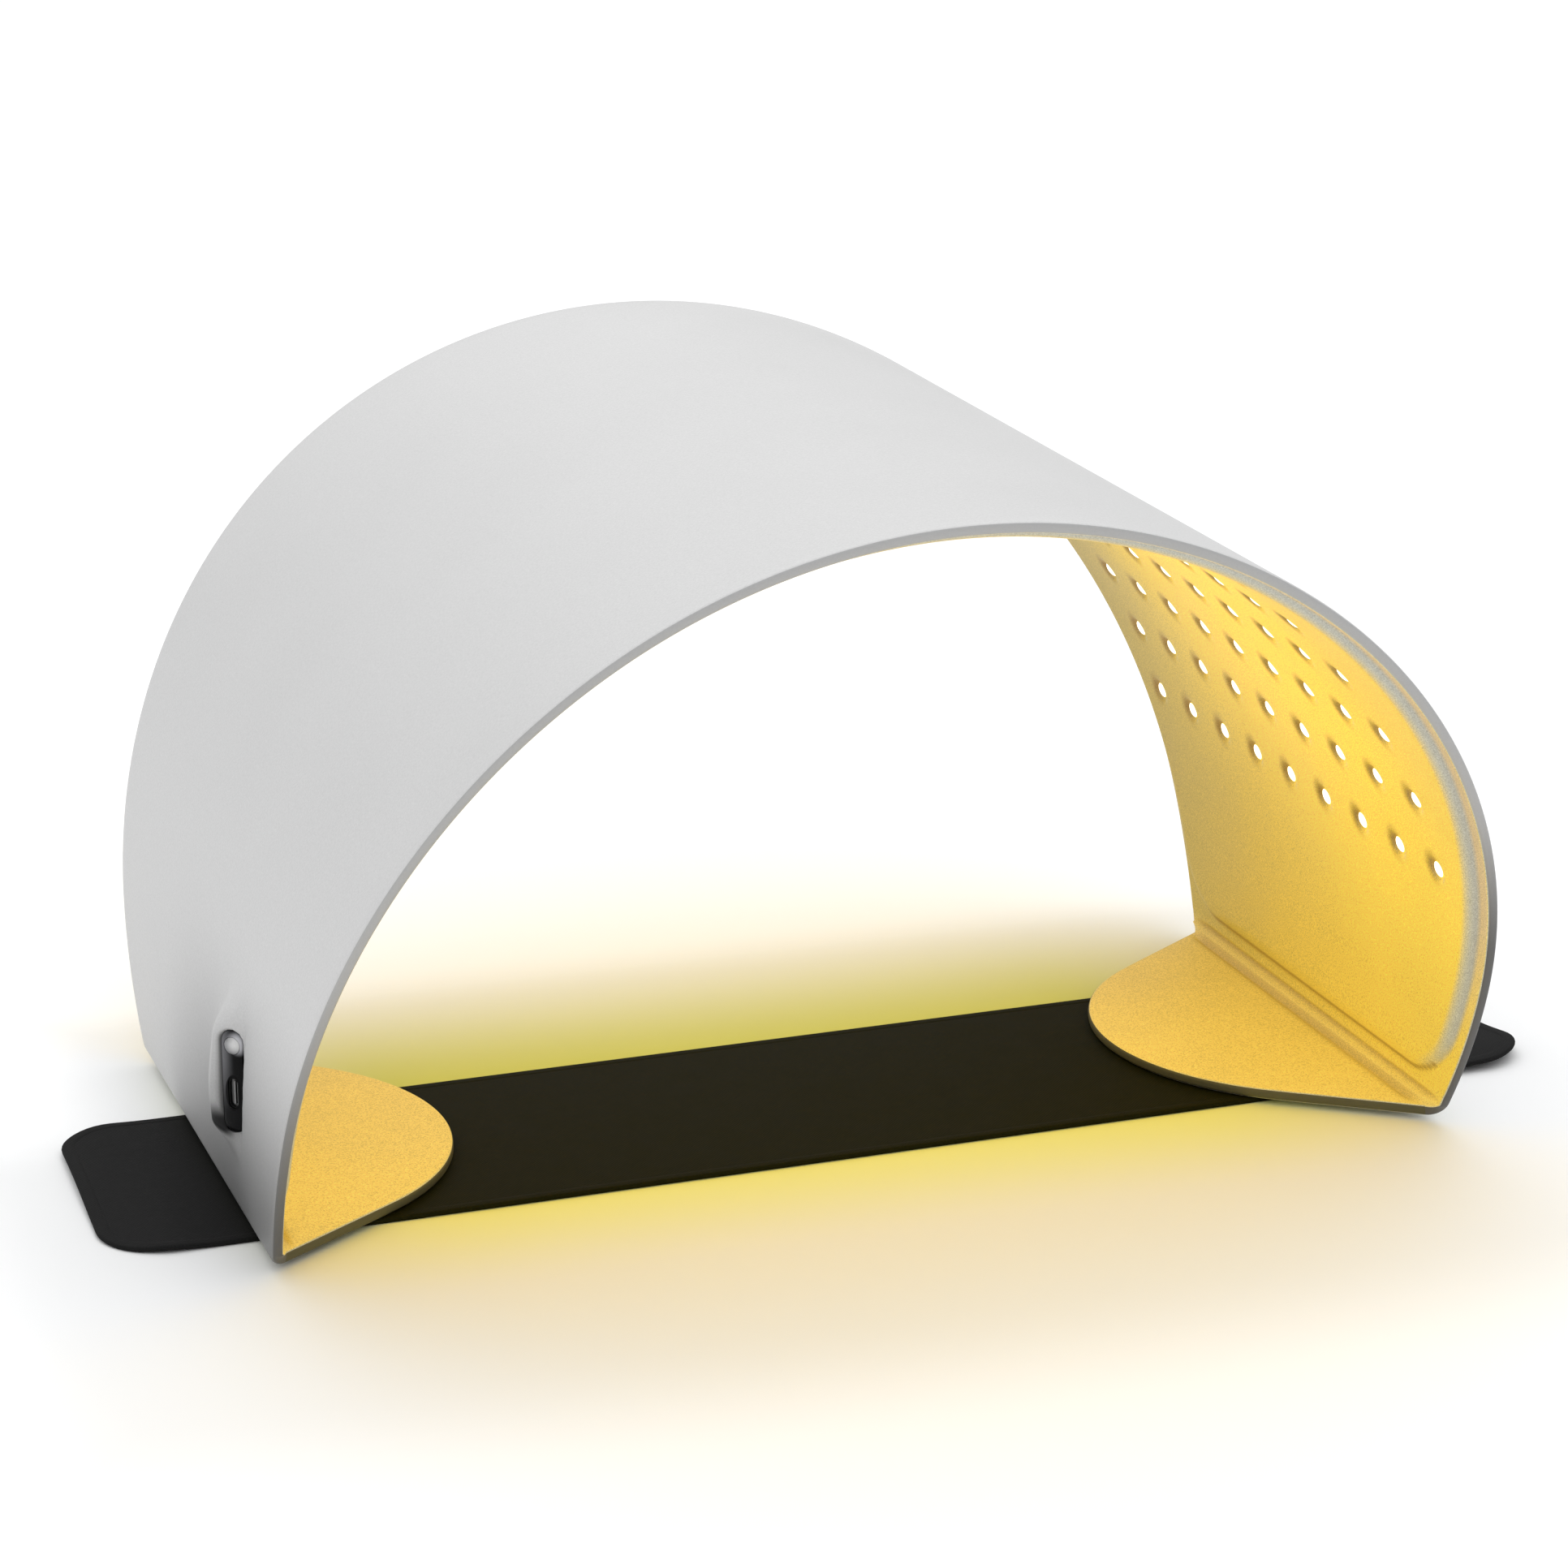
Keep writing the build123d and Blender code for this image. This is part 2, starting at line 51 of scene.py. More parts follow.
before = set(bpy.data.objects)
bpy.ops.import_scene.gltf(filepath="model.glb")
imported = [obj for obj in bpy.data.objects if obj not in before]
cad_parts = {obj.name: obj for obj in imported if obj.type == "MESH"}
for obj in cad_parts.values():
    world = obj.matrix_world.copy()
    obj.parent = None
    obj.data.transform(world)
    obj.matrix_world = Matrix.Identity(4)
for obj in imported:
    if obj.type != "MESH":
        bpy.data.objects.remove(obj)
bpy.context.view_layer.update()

HALF_TURN = math.pi
QUARTER_TURN = math.pi / 2


def length(name, description, default):
    return FloatProperty(name=name, description=description, default=default, unit="LENGTH", precision=5)


def angle(name, description, degrees):
    return FloatProperty(name=name, description=description, default=math.radians(degrees), subtype="ANGLE")


def count(name, description, default):
    return IntProperty(name=name, description=description, default=default, min=1)


def number(name, description, default):
    return FloatProperty(name=name, description=description, default=default)


def colour(name, description, default):
    return FloatVectorProperty(name=name, description=description, default=default, subtype="COLOR",
                               size=3, min=0.0, max=1.0)


class ArchSizes(bpy.types.PropertyGroup):
    """The silicone arch, seen from the front and from the side"""
    width: length("Width", "Outer width of the arch at its folds", 0.360)
    wall_radius: length("Wall radius", "Radius of each wall's gentle curve", 0.257)
    fold_heading: angle("Fold heading", "How far each wall leans out at its fold", -6.3)
    join_heading: angle("Join heading", "Where each wall's curve passes into the crown's", 4.0)
    fold_depth: length("Fold depth", "Depth of the arch along its folds", 0.178)
    crown_depth: length("Crown depth", "Depth of the arch along its crown", 0.322)
    rim_radius: length("Rim radius", "Radius of the rim, seen from the side", 0.634)
    sheet: length("Sheet", "Thickness of the silicone at the rim", 0.0033)
    edge_radius: length("Edge radius", "Rounding of the rim's two edges", 0.0011)
    seam_height: length("Seam height", "Where the fold's bending part starts", 0.0105)
    outer_columns: count("Outer columns", "Columns of faces on the outer side", 64)


class PadSizes(bpy.types.PropertyGroup):
    """The raised pad inside the arch"""
    height: length("Height", "How far the pad stands out of the sheet", 0.0033)
    margin: length("Margin", "Flat margin between the rim and the pad", 0.0053)
    bottom_margin: length("Bottom margin", "Height of the pad's lower edge above the fold", 0.011)
    corner_radius: length("Corner radius", "Rounding of the pad's lower corners", 0.018)
    slope_width: length("Slope width", "Width of the soft slope round the pad", 0.0062)
    foot_shade: length("Foot shade", "Width of the shaded line along the pad's foot", 0.0016)
    fine_step: length("Fine step", "Row spacing near the pad's lower edge", 0.0009)
    fine_reach: length("Fine reach", "How far up the close rows go", 0.012)
    coarse_step: length("Coarse step", "Row spacing on the blank part of the pad", 0.0020)


class LedSizes(bpy.types.PropertyGroup):
    """The grid of LED windows"""
    columns: count("Columns", "LEDs in each row", 9)
    rows: count("Rows", "Rows of LEDs round the arch", 20)
    pitch: length("Pitch", "Distance between LEDs along the depth", 0.0254)
    first_angle: angle("First angle", "Angle of the lowest row about the crown's centre", 16.7)
    side_reach: length("Side reach", "Half the width of the outermost cells", 0.0074)
    splits: count("Splits", "Faces along each side of one LED's cell", 8)
    window_radius: length("Window radius", "Radius of each clear window", 0.0026)
    hole_radius: length("Hole radius", "Radius of the hole round each window", 0.0027)
    dimple_radius: length("Dimple radius", "Radius of the shallow dimple", 0.0046)
    dimple_depth: length("Dimple depth", "Depth of the dimple at its window", 0.0010)
    dome_rise: length("Dome rise", "How far each window's dome stands out of its dimple", 0.0009)
    shade_turn: angle("Shade turn", "Where each dimple is darkest, up from the back", 20.0)


class FlapSizes(bpy.types.PropertyGroup):
    """The two flaps that the arch stands on, and their folds"""
    tip_radius: length("Tip radius", "Radius of each flap's round tip", 0.073)
    inner_corner: length("Inner corner", "Rounding inside the fold", 0.0016)
    outer_corner: length("Outer corner", "Rounding outside the fold", 0.0049)
    rib_height: length("Rib height", "Height of the rib along the fold", 0.0010)
    rib_width: length("Rib width", "Width of that rib", 0.0040)
    groove_depth: length("Groove depth", "Depth of the groove on each side of the rib", 0.0007)
    groove_width: length("Groove width", "Width of each groove", 0.0022)
    relief_fade: length("Relief fade", "How the rib and grooves fade towards the rim", 0.010)
    row_step: length("Row step", "Row spacing on the flat part", 0.004)
    columns: count("Columns", "Columns of faces across the flap", 48)


class PortSizes(bpy.types.PropertyGroup):
    """The swell in the left wall that the port sits in"""
    turn: angle("Turn", "How far the port is turned to the front", 45.0)
    length: length("Length", "Length of the port's capsule", 0.0305)
    width: length("Width", "Width of the port's capsule", 0.0072)
    gap: length("Gap", "Gap between the capsule and the silicone", 0.0001)
    lip: length("Lip", "Width of the rolled lip round the capsule", 0.0013)
    back_lip: number("Back lip", "How much wider the lip is at the back", 1.5)
    # Painted shade: low at the back, the lip round the port is drawn black as a shaded hollow
    hollow_shade_top: length("Hollow top", "Height below which the lip at the back is a dark hollow", -0.0060)
    hollow_shade_fade: length("Hollow fade", "How gently that hollow starts", 0.0060)
    back_run: length("Back run", "How far the swell runs back", 0.030)
    end_run: length("End run", "How far the swell runs above and below", 0.011)
    front_run: length("Front run", "How far the swell runs to the front", 0.0022)
    window_front: length("Window front", "Reach of the reshaped area to the front", 0.012)
    window_back: length("Window back", "Reach of the reshaped area to the back", 0.038)
    window_end: length("Window end", "Reach of the reshaped area up and down", 0.030)


class StrapSizes(bpy.types.PropertyGroup):
    """The flat band under the arch"""
    length: length("Length", "Length of the band", 0.4482)
    width: length("Width", "Width of the band", 0.101)
    corner_radius: length("Corner radius", "Rounding of the band's corners", 0.020)
    cloth: length("Cloth", "Height of the cloth's upper side", 0.00152)
    edge: length("Edge", "Thickness of the bound edge", 0.0016)
    binding: length("Binding", "Width of the bound edge", 0.0040)
    shift_x: length("Shift across", "How far the band lies to the right", 0.0064)
    shift_y: length("Shift along", "How far the band lies to the back", -0.008)
    turn: angle("Turn", "How far the band is turned", 1.6)
    row_step: length("Row step", "Spacing of the rows of faces", 0.003)
    left_flare: length("Left flare", "How far the left end's front corner reaches out", 0.0055)
    right_draw: length("Right draw", "How far the right end's back corner is drawn in", 0.0055)
    ripple: length("Ripple", "Height of the ripples in the free ends", 0.0009)


class Finishes(bpy.types.PropertyGroup):
    """Colours of the light and the surfaces, many of them with painted light or shade"""
    glow: number("Glow", "Strength of the light in the inner silicone", 0.31)
    window_glow: number("Window glow", "Strength of the light in each window", 1.6)
    edge_glow: number("Edge glow", "Strength of the light round each window's foot", 0.6)
    floor_lift: number("Floor lift", "How much the floor is lifted to white away from the light", 0.12)
    # Painted shade: the rim is drawn darker than the wall, and darker still low down and on the right
    rim: colour("Rim", "Grey of the rim", (0.45, 0.45, 0.45))
    shaded_rim: colour("Far rim", "Darker grey of the rim near the floor", (0.11, 0.11, 0.11))
    # Painted light: the slope's cool grey where it faces out of the amber light
    slope: colour("Slope", "Grey of the pad's slope where it faces out", (0.50, 0.56, 0.60))
    pale: colour("Pale", "Silicone of the margin, out of the direct light", (0.78, 0.66, 0.52))
    # Painted shade and amber light: the flaps' edges are drawn dark olive
    shaded_flap_edge: colour("Flap edge", "Olive grey of the flaps' edges", (0.10, 0.095, 0.05))
    # Painted shade: the colour in the creases, the dimples and along the pad's foot
    crease: colour("Crease", "Silicone in the creases", (0.36, 0.21, 0.04))
    # Painted shade: the outer silicone's darker grey low down on the left
    soiled: colour("Shadowed", "Silicone soiled near the floor", (0.24, 0.24, 0.24))
    silicone: colour("Silicone", "Light grey silicone", (0.68, 0.68, 0.68))
    # Painted light: these tints are the silicone lit amber by the LEDs, darker as painted shade further from
    # them
    flap_silicone: colour("Flap silicone", "Silicone on the flaps", (0.70, 0.52, 0.20))
    front_silicone: colour("Front silicone", "Silicone near the front rim, high up", (0.60, 0.41, 0.11))
    back_silicone: colour("Back silicone", "Silicone towards the back rim", (0.37, 0.285, 0.09))
    lit_silicone: colour("Lit silicone", "Silicone in the amber light", (0.86, 0.60, 0.04))
    dim_silicone: colour("Dim silicone", "Silicone further from the LEDs", (0.71, 0.505, 0.09))
    amber: colour("Amber", "Colour of the light", (1.0, 0.77, 0.085))
    pale_amber: colour("Pale amber", "Colour of the light among the LEDs", (1.0, 0.735, 0.105))
    hot: colour("Hot", "Colour of the LEDs themselves", (1.0, 0.94, 0.78))
    strap: colour("Strap", "Charcoal cloth", (0.0125, 0.0125, 0.0125))
    lit_strap: colour("Lit strap", "Charcoal cloth in the amber light", (0.0100, 0.0105, 0.0010))
    # Partly the button's own pale colour, partly a painted highlight; also the tongue's pale face
    pale_glint: colour("Pearl", "Pale middle of the button", (0.62, 0.62, 0.62))
    gloss: colour("Gloss", "Glossy black plastic", (0.005, 0.005, 0.0053))
    floor: colour("Floor", "Pale floor", (0.945, 0.95, 0.953))
    pool: colour("Pool", "Floor in the amber light", (0.94, 0.98, 0.42))
    back_pool: colour("Back pool", "Floor in the amber light behind the band", (0.66, 0.72, 0.20))


class StageSettings(bpy.types.PropertyGroup):
    """The camera, the floor and the lights"""
    azimuth: angle("Azimuth", "Camera's turn from the front", -18.849)
    elevation: angle("Elevation", "Camera's height above the horizon", 17.023)
    distance: length("Distance", "From the camera to its target", 1.3699)
    lens: number("Lens", "Focal length in millimetres", 104.56)
    target_x: length("Target across", "The camera's target, across", 0.0002)
    target_z: length("Target height", "The camera's target, up", 0.0991)
    floor_size: length("Floor size", "Side of the floor", 30.0)
    sky_strength: number("Sky strength", "Strength of the light all round", 1.16)
    overhead_power: number("Overhead power", "Watts of the soft light overhead", 9.0)
    crown_power: number("Crown power", "Watts of the amber light under the crown", 0.02)
    wall_power: number("Wall power", "Watts of the amber light at each wall", 0.006)
    horizon: colour("Horizon", "Grey of that light low down", (0.16, 0.16, 0.16))


class LightArchSettings(bpy.types.PropertyGroup):
    """Everything that a user would change"""
    arch: PointerProperty(type=ArchSizes)
    pad: PointerProperty(type=PadSizes)
    leds: PointerProperty(type=LedSizes)
    flaps: PointerProperty(type=FlapSizes)
    port: PointerProperty(type=PortSizes)
    strap: PointerProperty(type=StrapSizes)
    finishes: PointerProperty(type=Finishes)
    stage: PointerProperty(type=StageSettings)


def clamp(value):
    return min(max(value, 0.0), 1.0)


def smooth(value):
    """An even step from 0 to 1."""
    share = clamp(value)
    return share * share * (3 - 2 * share)


def mix(first, second, share):
    return first + (second - first) * share


def spaced(first, last, steps):
    """Evenly spaced values, with both ends."""
    return [mix(first, last, index / steps) for index in range(steps + 1)]


class Profile:
    """The arch's curve seen from the front, and its rim seen from the side.

    A sweep is an angle about the arch: below 0 at the right fold, a quarter turn at the crown."""

    def __init__(self, arch):
        self.wall_radius = arch.wall_radius
        self.join = arch.join_heading
        self.sheet = arch.sheet
        self.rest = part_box("left_flap_cover")[0].z
        self.wall_x = arch.wall_radius * math.cos(arch.fold_heading) - arch.width / 2
        self.wall_z = self.rest - arch.wall_radius * math.sin(arch.fold_heading)
        self.crown_radius = arch.wall_radius - self.wall_x / math.cos(self.join)
        self.crown_z = self.wall_z + (arch.wall_radius - self.crown_radius) * math.sin(self.join)
        self.top = self.crown_z + self.crown_radius
        self.fold_half = arch.fold_depth / 2
        chord_y = arch.crown_depth / 2 - self.fold_half
        chord_z = self.top - self.rest
        chord = math.hypot(chord_y, chord_z)
        reach = math.sqrt(arch.rim_radius**2 - (chord / 2) ** 2)
        self.rim_radius = arch.rim_radius
        self.rim_y = self.fold_half + chord_y / 2 - reach * chord_z / chord
        self.rim_z = self.rest + chord_z / 2 + reach * chord_y / chord

    def at(self, sweep, offset):
        """The point (x, z) at a sweep, at an offset inwards from the outer surface."""
        side = 1 if sweep <= QUARTER_TURN else -1
        heading = sweep if side > 0 else HALF_TURN - sweep
        if heading <= self.join:
            x = (self.wall_radius - offset) * math.cos(heading) - self.wall_x
            return side * x, self.wall_z + (self.wall_radius - offset) * math.sin(heading)
        x = (self.crown_radius - offset) * math.cos(heading)
        return side * x, self.crown_z + (self.crown_radius - offset) * math.sin(heading)

    def rim(self, z):
        """Half the arch's depth at a height."""
        return self.rim_y + math.sqrt(self.rim_radius**2 - (z - self.rim_z) ** 2)

    def heading_at(self, z):
        """The heading at which the wall's outer surface has a height."""
        return math.asin((z - self.wall_z) / self.wall_radius)

    def climb(self, heading, distance):
        """The heading that lies a distance further up the surface."""
        wall_part = (self.join - heading) * self.wall_radius
        if distance <= wall_part:
            return heading + distance / self.wall_radius
        return max(heading, self.join) + (distance - max(wall_part, 0.0)) / self.crown_radius

    def wall_x_at(self, z):
        """Half the outer width at a height on the wall."""
        return self.wall_radius * math.cos(self.heading_at(z)) - self.wall_x


# Where each silicone mesh holds its finishes, and the angle from which an edge looks sharp
OUTSIDE, INSIDE, RIM, FLAP_RIM = range(4)
SHARP_ANGLE = math.radians(50.0)


class Net:
    """The points and faces of one piece, gathered before its mesh is made.

    A point's shade says how far it lies in a crease, and its grey how little it glows."""

    def __init__(self):
        self.points = []
        self.shades = []
        self.greys = []
        self.faces = []
        self.finishes = []

    def point(self, x, y, z, shade=0.0, grey=0.0):
        self.points.append((x, y, z))
        self.shades.append(shade)
        self.greys.append(grey)
        return len(self.points) - 1

    def face(self, corners, finish=0):
        self.faces.append(corners)
        self.finishes.append(finish)

    def strip(self, first, second, finish=0):
        """Faces between two equal rows of points."""
        for index in range(len(first) - 1):
            self.face((first[index], first[index + 1], second[index + 1], second[index]), finish)

    def rim_strip(self, first, second, finish):
        """Faces round a rim, whose inner third is lit and whose outer third is plain."""
        third = len(first) // 3
        plain = len(first) - third
        self.strip(first[:third], second[:third], INSIDE)
        self.strip(first[third - 1:plain + 1], second[third - 1:plain + 1], finish)
        self.strip(first[plain:], second[plain:], OUTSIDE)

    def ring(self, first, second, finish=0):
        """Faces between two equal closed rows of points."""
        self.strip(first + first[:1], second + second[:1], finish)

    def around(self, grid, block, finish=0):
        """Faces over a grid of points, except in a block: its first row and column, and its two counts."""
        low_row, low_column, rows, columns = block
        for row in range(len(grid) - 1):
            for column in range(len(grid[row]) - 1):
                if 0 <= row - low_row < rows and 0 <= column - low_column < columns:
                    continue
                self.face((grid[row][column], grid[row][column + 1],
                           grid[row + 1][column + 1], grid[row + 1][column]), finish)

    def cap(self, inner, outer, chains, row):
        """One face that closes a skin across its thickness, at a row of it."""
        self.face(inner[row] + chains[1][row][1:-1] + outer[row][::-1] + chains[-1][row][-2:0:-1])

    def piece(self, name, materials):
        """Makes the mesh, with its faces turned outwards, and links it to the scene."""
        mesh = bpy.data.meshes.new(name)
        mesh.from_pydata(self.points, [], self.faces)
        mesh.polygons.foreach_set("material_index", self.finishes)
        mesh.polygons.foreach_set("use_smooth", [True] * len(self.faces))
        for label, values in (("shade", self.shades), ("grey", self.greys)):
            mesh.attributes.new(label, "FLOAT", "POINT").data.foreach_set("value", values)
        working = bmesh.new()
        working.from_mesh(mesh)
        bmesh.ops.recalc_face_normals(working, faces=working.faces)
        working.to_mesh(mesh)
        working.free()
        mesh.set_sharp_from_angle(angle=SHARP_ANGLE)
        for material in materials:
            mesh.materials.append(material)
        made = bpy.data.objects.new(name, mesh)
        bpy.context.scene.collection.objects.link(made)
        return made


def border(row, column, rows, columns):
    """The places (row, column) round a block of a grid, from its first corner."""
    places = [(row, column + index) for index in range(columns)]
    places += [(row + index, column + columns) for index in range(rows)]
    places += [(row + rows, column + columns - index) for index in range(columns)]
    return places + [(row + rows - index, column) for index in range(rows)]


# Steps over each of the rim's two roundings
EDGE_STEPS = 4


def edge_steps(arch):
    """The rim's rounding as pairs: a share of the thickness, and how far the edge is drawn in there."""
    radius = arch.edge_radius
    steps = [(radius * (1 - math.cos(turn)) / arch.sheet, radius * (1 - math.sin(turn)))
             for turn in spaced(0.0, QUARTER_TURN, EDGE_STEPS)]
    return steps + [(1 - share, inset) for share, inset in reversed(steps)]


def rim_chain(net, inner, outer, side, arch, ends, lean=(0.0, 1.0)):
    """The points round the rim between the points at its two ends.

    Inner and outer are those ends' places before rounding, as (x, z, half depth). The rounding draws the
    edge in by the shares in lean: across, and towards the middle."""
    chain = [ends[0]]
    for share, inset in edge_steps(arch)[1:-1]:
        x, z, depth = (mix(a, b, share) for a, b in zip(inner, outer))
        chain.append(net.point(x + inset * lean[0], side * (depth - inset * lean[1]), z))
    return chain + [ends[1]]


def arch_sweeps(settings, profile):
    """The sweeps of the arch's rows, and the index of the first row of the LED cells."""
    pad, leds = settings.pad, settings.leds
    step = (HALF_TURN - 2 * leds.first_angle) / (leds.rows - 1)
    first_cell = leds.first_angle - step / 2
    seam = profile.heading_at(settings.arch.seam_height)
    rise = (profile.join - seam) * profile.wall_radius + (first_cell - profile.join) * profile.crown_radius
    climbs = spaced(0.0, pad.fine_reach, round(pad.fine_reach / pad.fine_step))[:-1]
    climbs += spaced(pad.fine_reach, rise, round((rise - pad.fine_reach) / pad.coarse_step))[:-1]
    low = [profile.climb(seam, distance) for distance in climbs]
    middle = spaced(first_cell, first_cell + step * leds.rows, leds.rows * leds.splits)
    return low + middle + [HALF_TURN - sweep for sweep in reversed(low)], len(low)


# The shade of the line along the pad's foot beside its slopes, next to 1 under its lower edge
SIDE_FOOT_SHADE = 0.15
# Painted light: near the rim the slope and margin lose the amber glow for the pale tint
# The greyest that the slope beside the rim gets, and the heights between which it turns grey
SLOPE_GREY = 0.9
GREY_START, GREY_RUN = 0.02, 0.06


def pad_rise(settings, profile, sweep, y):
    """How far the pad stands out of the sheet at a place, how its foot is shaded there, and its grey."""
    pad = settings.pad
    heading = min(sweep, HALF_TURN - sweep)
    z = profile.at(sweep, profile.sheet)[1]
    side_gap = profile.rim(z) - pad.margin - abs(y)
    base = profile.heading_at(profile.rest + pad.bottom_margin)
    bottom_gap = (heading - base) * profile.wall_radius
    radius = pad.corner_radius
    gap = min(side_gap, bottom_gap)
    if max(side_gap, bottom_gap) < radius:
        gap = radius - math.hypot(radius - side_gap, radius - bottom_gap)
    rise = pad.height * math.sin(QUARTER_TURN * clamp(gap / pad.slope_width))
    foot = smooth(1 - abs(gap - pad.foot_shade / 3) / pad.foot_shade)
    near_rim = smooth(1 - 2 * side_gap / pad.slope_width)
    grey = near_rim * SLOPE_GREY * smooth((z - GREY_START) / GREY_RUN)
    return rise, foot * (1.0 if bottom_gap < side_gap else SIDE_FOOT_SHADE), grey


# Columns over the pad's slope, as shares of its width, and columns from there to the LED cells
SLOPE_SHARES = (0.0, 0.12, 0.25, 0.38, 0.52, 0.66, 0.82, 1.0)
BLENDED_COLUMNS = 9


def inner_columns(settings, profile, sweep):
    """The inner side's columns across the arch, and the index of the first LED cell's column."""
    arch, pad, leds = settings.arch, settings.pad, settings.leds
    z = profile.at(sweep, profile.sheet)[1]
    insets = spaced(arch.edge_radius, pad.margin, 3)[:-1]
    insets += [pad.margin + pad.slope_width * share for share in SLOPE_SHARES]
    side = [profile.rim(z) - inset for inset in insets]
    full = (leds.columns - 1) / 2 * leds.pitch + leds.side_reach
    room = mix(pad.corner_radius, arch.edge_radius, smooth((z - 1.5 * pad.corner_radius) / pad.corner_radius))
    core = min(full, side[-1] - room)
    side += spaced(side[-1], core, BLENDED_COLUMNS)[1:-1]
    middle = []
    for cell in range(leds.columns):
        low = max((cell - leds.columns / 2) * leds.pitch, -full)
        high = min((cell + 1 - leds.columns / 2) * leds.pitch, full)
        middle += [y * core / full for y in spaced(low, high, leds.splits)[:-1]]
    return [-y for y in side] + middle + [core] + side[::-1], len(side)


# Rings from an LED's cell down into its hole. Each is a reach, as shares of the dimple's radius and the
# hole's, a depth as a share of the dimple's, and a shade.
DIMPLE_RINGS = ((1.7, 0.0, 0.0, 0.0), (1.35, 0.0, 0.0, 0.40), (1.0, 0.0, 0.06, 0.85), (0.65, 0.35, 0.38, 1.0),
                (0.25, 0.75, 0.86, 1.0), (0.0, 1.0, 1.0, 0.9), (0.0, 1.0, 2.2, 1.0))
# A dimple's shade all round, how much its dark side adds to it, and the least share of that
ROUND_SHADE, SIDE_SHADE, LEAST_SIDE = 0.40, 0.60, -0.6


def led_cell(net, settings, profile, boundary, places, sweep, y_middle):
    """Fills one LED's cell with rings that run down into its dimple and hole."""
    leds = settings.leds
    surface = profile.sheet + settings.pad.height
    radius = profile.crown_radius - surface
    previous = boundary
    for dimple_share, hole_share, depth_share, shade in DIMPLE_RINGS:
        reach = dimple_share * leds.dimple_radius + hole_share * leds.hole_radius
        offset = surface - leds.dimple_depth * depth_share
        current = []
        for place_sweep, place_y in places:
            turn = math.atan2((place_sweep - sweep) * radius, place_y - y_middle)
            x, z = profile.at(sweep + reach * math.sin(turn) / radius, offset)
            darkest = math.cos(turn - math.copysign(leds.shade_turn, x))
            facing = ROUND_SHADE + SIDE_SHADE * max(darkest, LEAST_SIDE)
            current.append(net.point(x, y_middle + reach * math.cos(turn), z, shade * facing))
        net.ring(previous, current, INSIDE)
        previous = current
    net.face(previous, INSIDE)


def inner_side(net, settings, profile, sweeps, first_row):
    """The arch's inner side: its rows of points across, with the LED cells filled in."""
    leds = settings.leds
    splits = leds.splits
    columns = [inner_columns(settings, profile, sweep) for sweep in sweeps]
    first_column = columns[0][1]
    block = (first_row, first_column, leds.rows * splits, leds.columns * splits)

    def inside_cell(row, column):
        over, along = row - first_row, column - first_column
        return 0 < over < block[2] and 0 < along < block[3] and over % splits and along % splits

    grid = []
    for row, sweep in enumerate(sweeps):
        line = []
        for column, y in enumerate(columns[row][0]):
            if inside_cell(row, column):
                line.append(None)
                continue
            rise, shade, grey = pad_rise(settings, profile, sweep, y)
            x, z = profile.at(sweep, profile.sheet + rise)
            line.append(net.point(x, y, z, shade, grey))
        grid.append(line)
    net.around(grid, block, INSIDE)
    for cell_row in range(leds.rows):
        for cell in range(leds.columns):
            row = first_row + cell_row * splits
            corners = border(row, first_column + cell * splits, splits, splits)
            places = [(sweeps[r], columns[r][0][c]) for r, c in corners]
            middle = (cell - (leds.columns - 1) / 2) * leds.pitch
            boundary = [grid[r][c] for r, c in corners]
            led_cell(net, settings, profile, boundary, places, sweeps[row + splits // 2], middle)
    return grid


class PortPlace:
    """The port's own frame: where its face lies, and which way it looks."""

    def __init__(self, settings):
        low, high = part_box("port_bezel")
        port = settings.port
        self.half_width = port.width / 2
        self.half_length = port.length / 2
        self.straight = self.half_length - self.half_width
        self.turn = port.turn
        self.x = low.x + self.half_width * math.sin(port.turn)
        self.y = low.y + self.half_width * math.cos(port.turn)
        self.z = (low.z + high.z) / 2

    def point(self, across, up, out):
        """A point in the port's frame: across towards its front edge, up, and out of its face."""
        sine, cosine = math.sin(self.turn), math.cos(self.turn)
        return self.x + across * sine - out * cosine, self.y - across * cosine - out * sine, self.z + up

    def outline(self, direction, gap):
        """The capsule's outline, a gap outside it. Half of each quarter's directions go to the round end."""
        radius = self.half_width + gap
        share = 2 * math.atan2(abs(direction[1]), abs(direction[0])) / QUARTER_TURN
        turn = max(share - 1, 0.0) * QUARTER_TURN
        up = self.straight * min(share, 1.0) + radius * math.sin(turn)
        return math.copysign(radius * math.cos(turn), direction[0]), math.copysign(up, direction[1])

    def span(self, node):
        """The middle height of a node in the port's frame, and half its height."""
        low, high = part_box(node)
        return (low.z + high.z) / 2 - self.z, (high.z - low.z) / 2


# The rolled lip round the port, from inside: shares of its width, and heights out of the port's face
LIP_SECTION = ((0.0, -0.0012), (0.0, -0.0001), (0.16, 0.00016), (0.42, 0.00034), (0.75, 0.00038),
               (1.15, 0.0002))
# How much the lip narrows below, and how much of its width at the back it has at the top and at the foot
LIP_NARROWING, TOP_LIP, FOOT_LIP = 0.75, 0.5, 1.5
# The shade in the gap round the capsule, what the back adds to it, and how fast it fades over the lip
GAP_SHADE, BACK_GAP_SHADE, GAP_FADE = 0.25, 0.6, 1.6
# Rings from the lip to the edge of the reshaped area, as shares of the way, and where their shade ends
SWELL_SHARES = (0.03, 0.07, 0.12, 0.18, 0.26, 0.36, 0.48, 0.62, 0.80)
SWELL_SHADE_END = 0.2


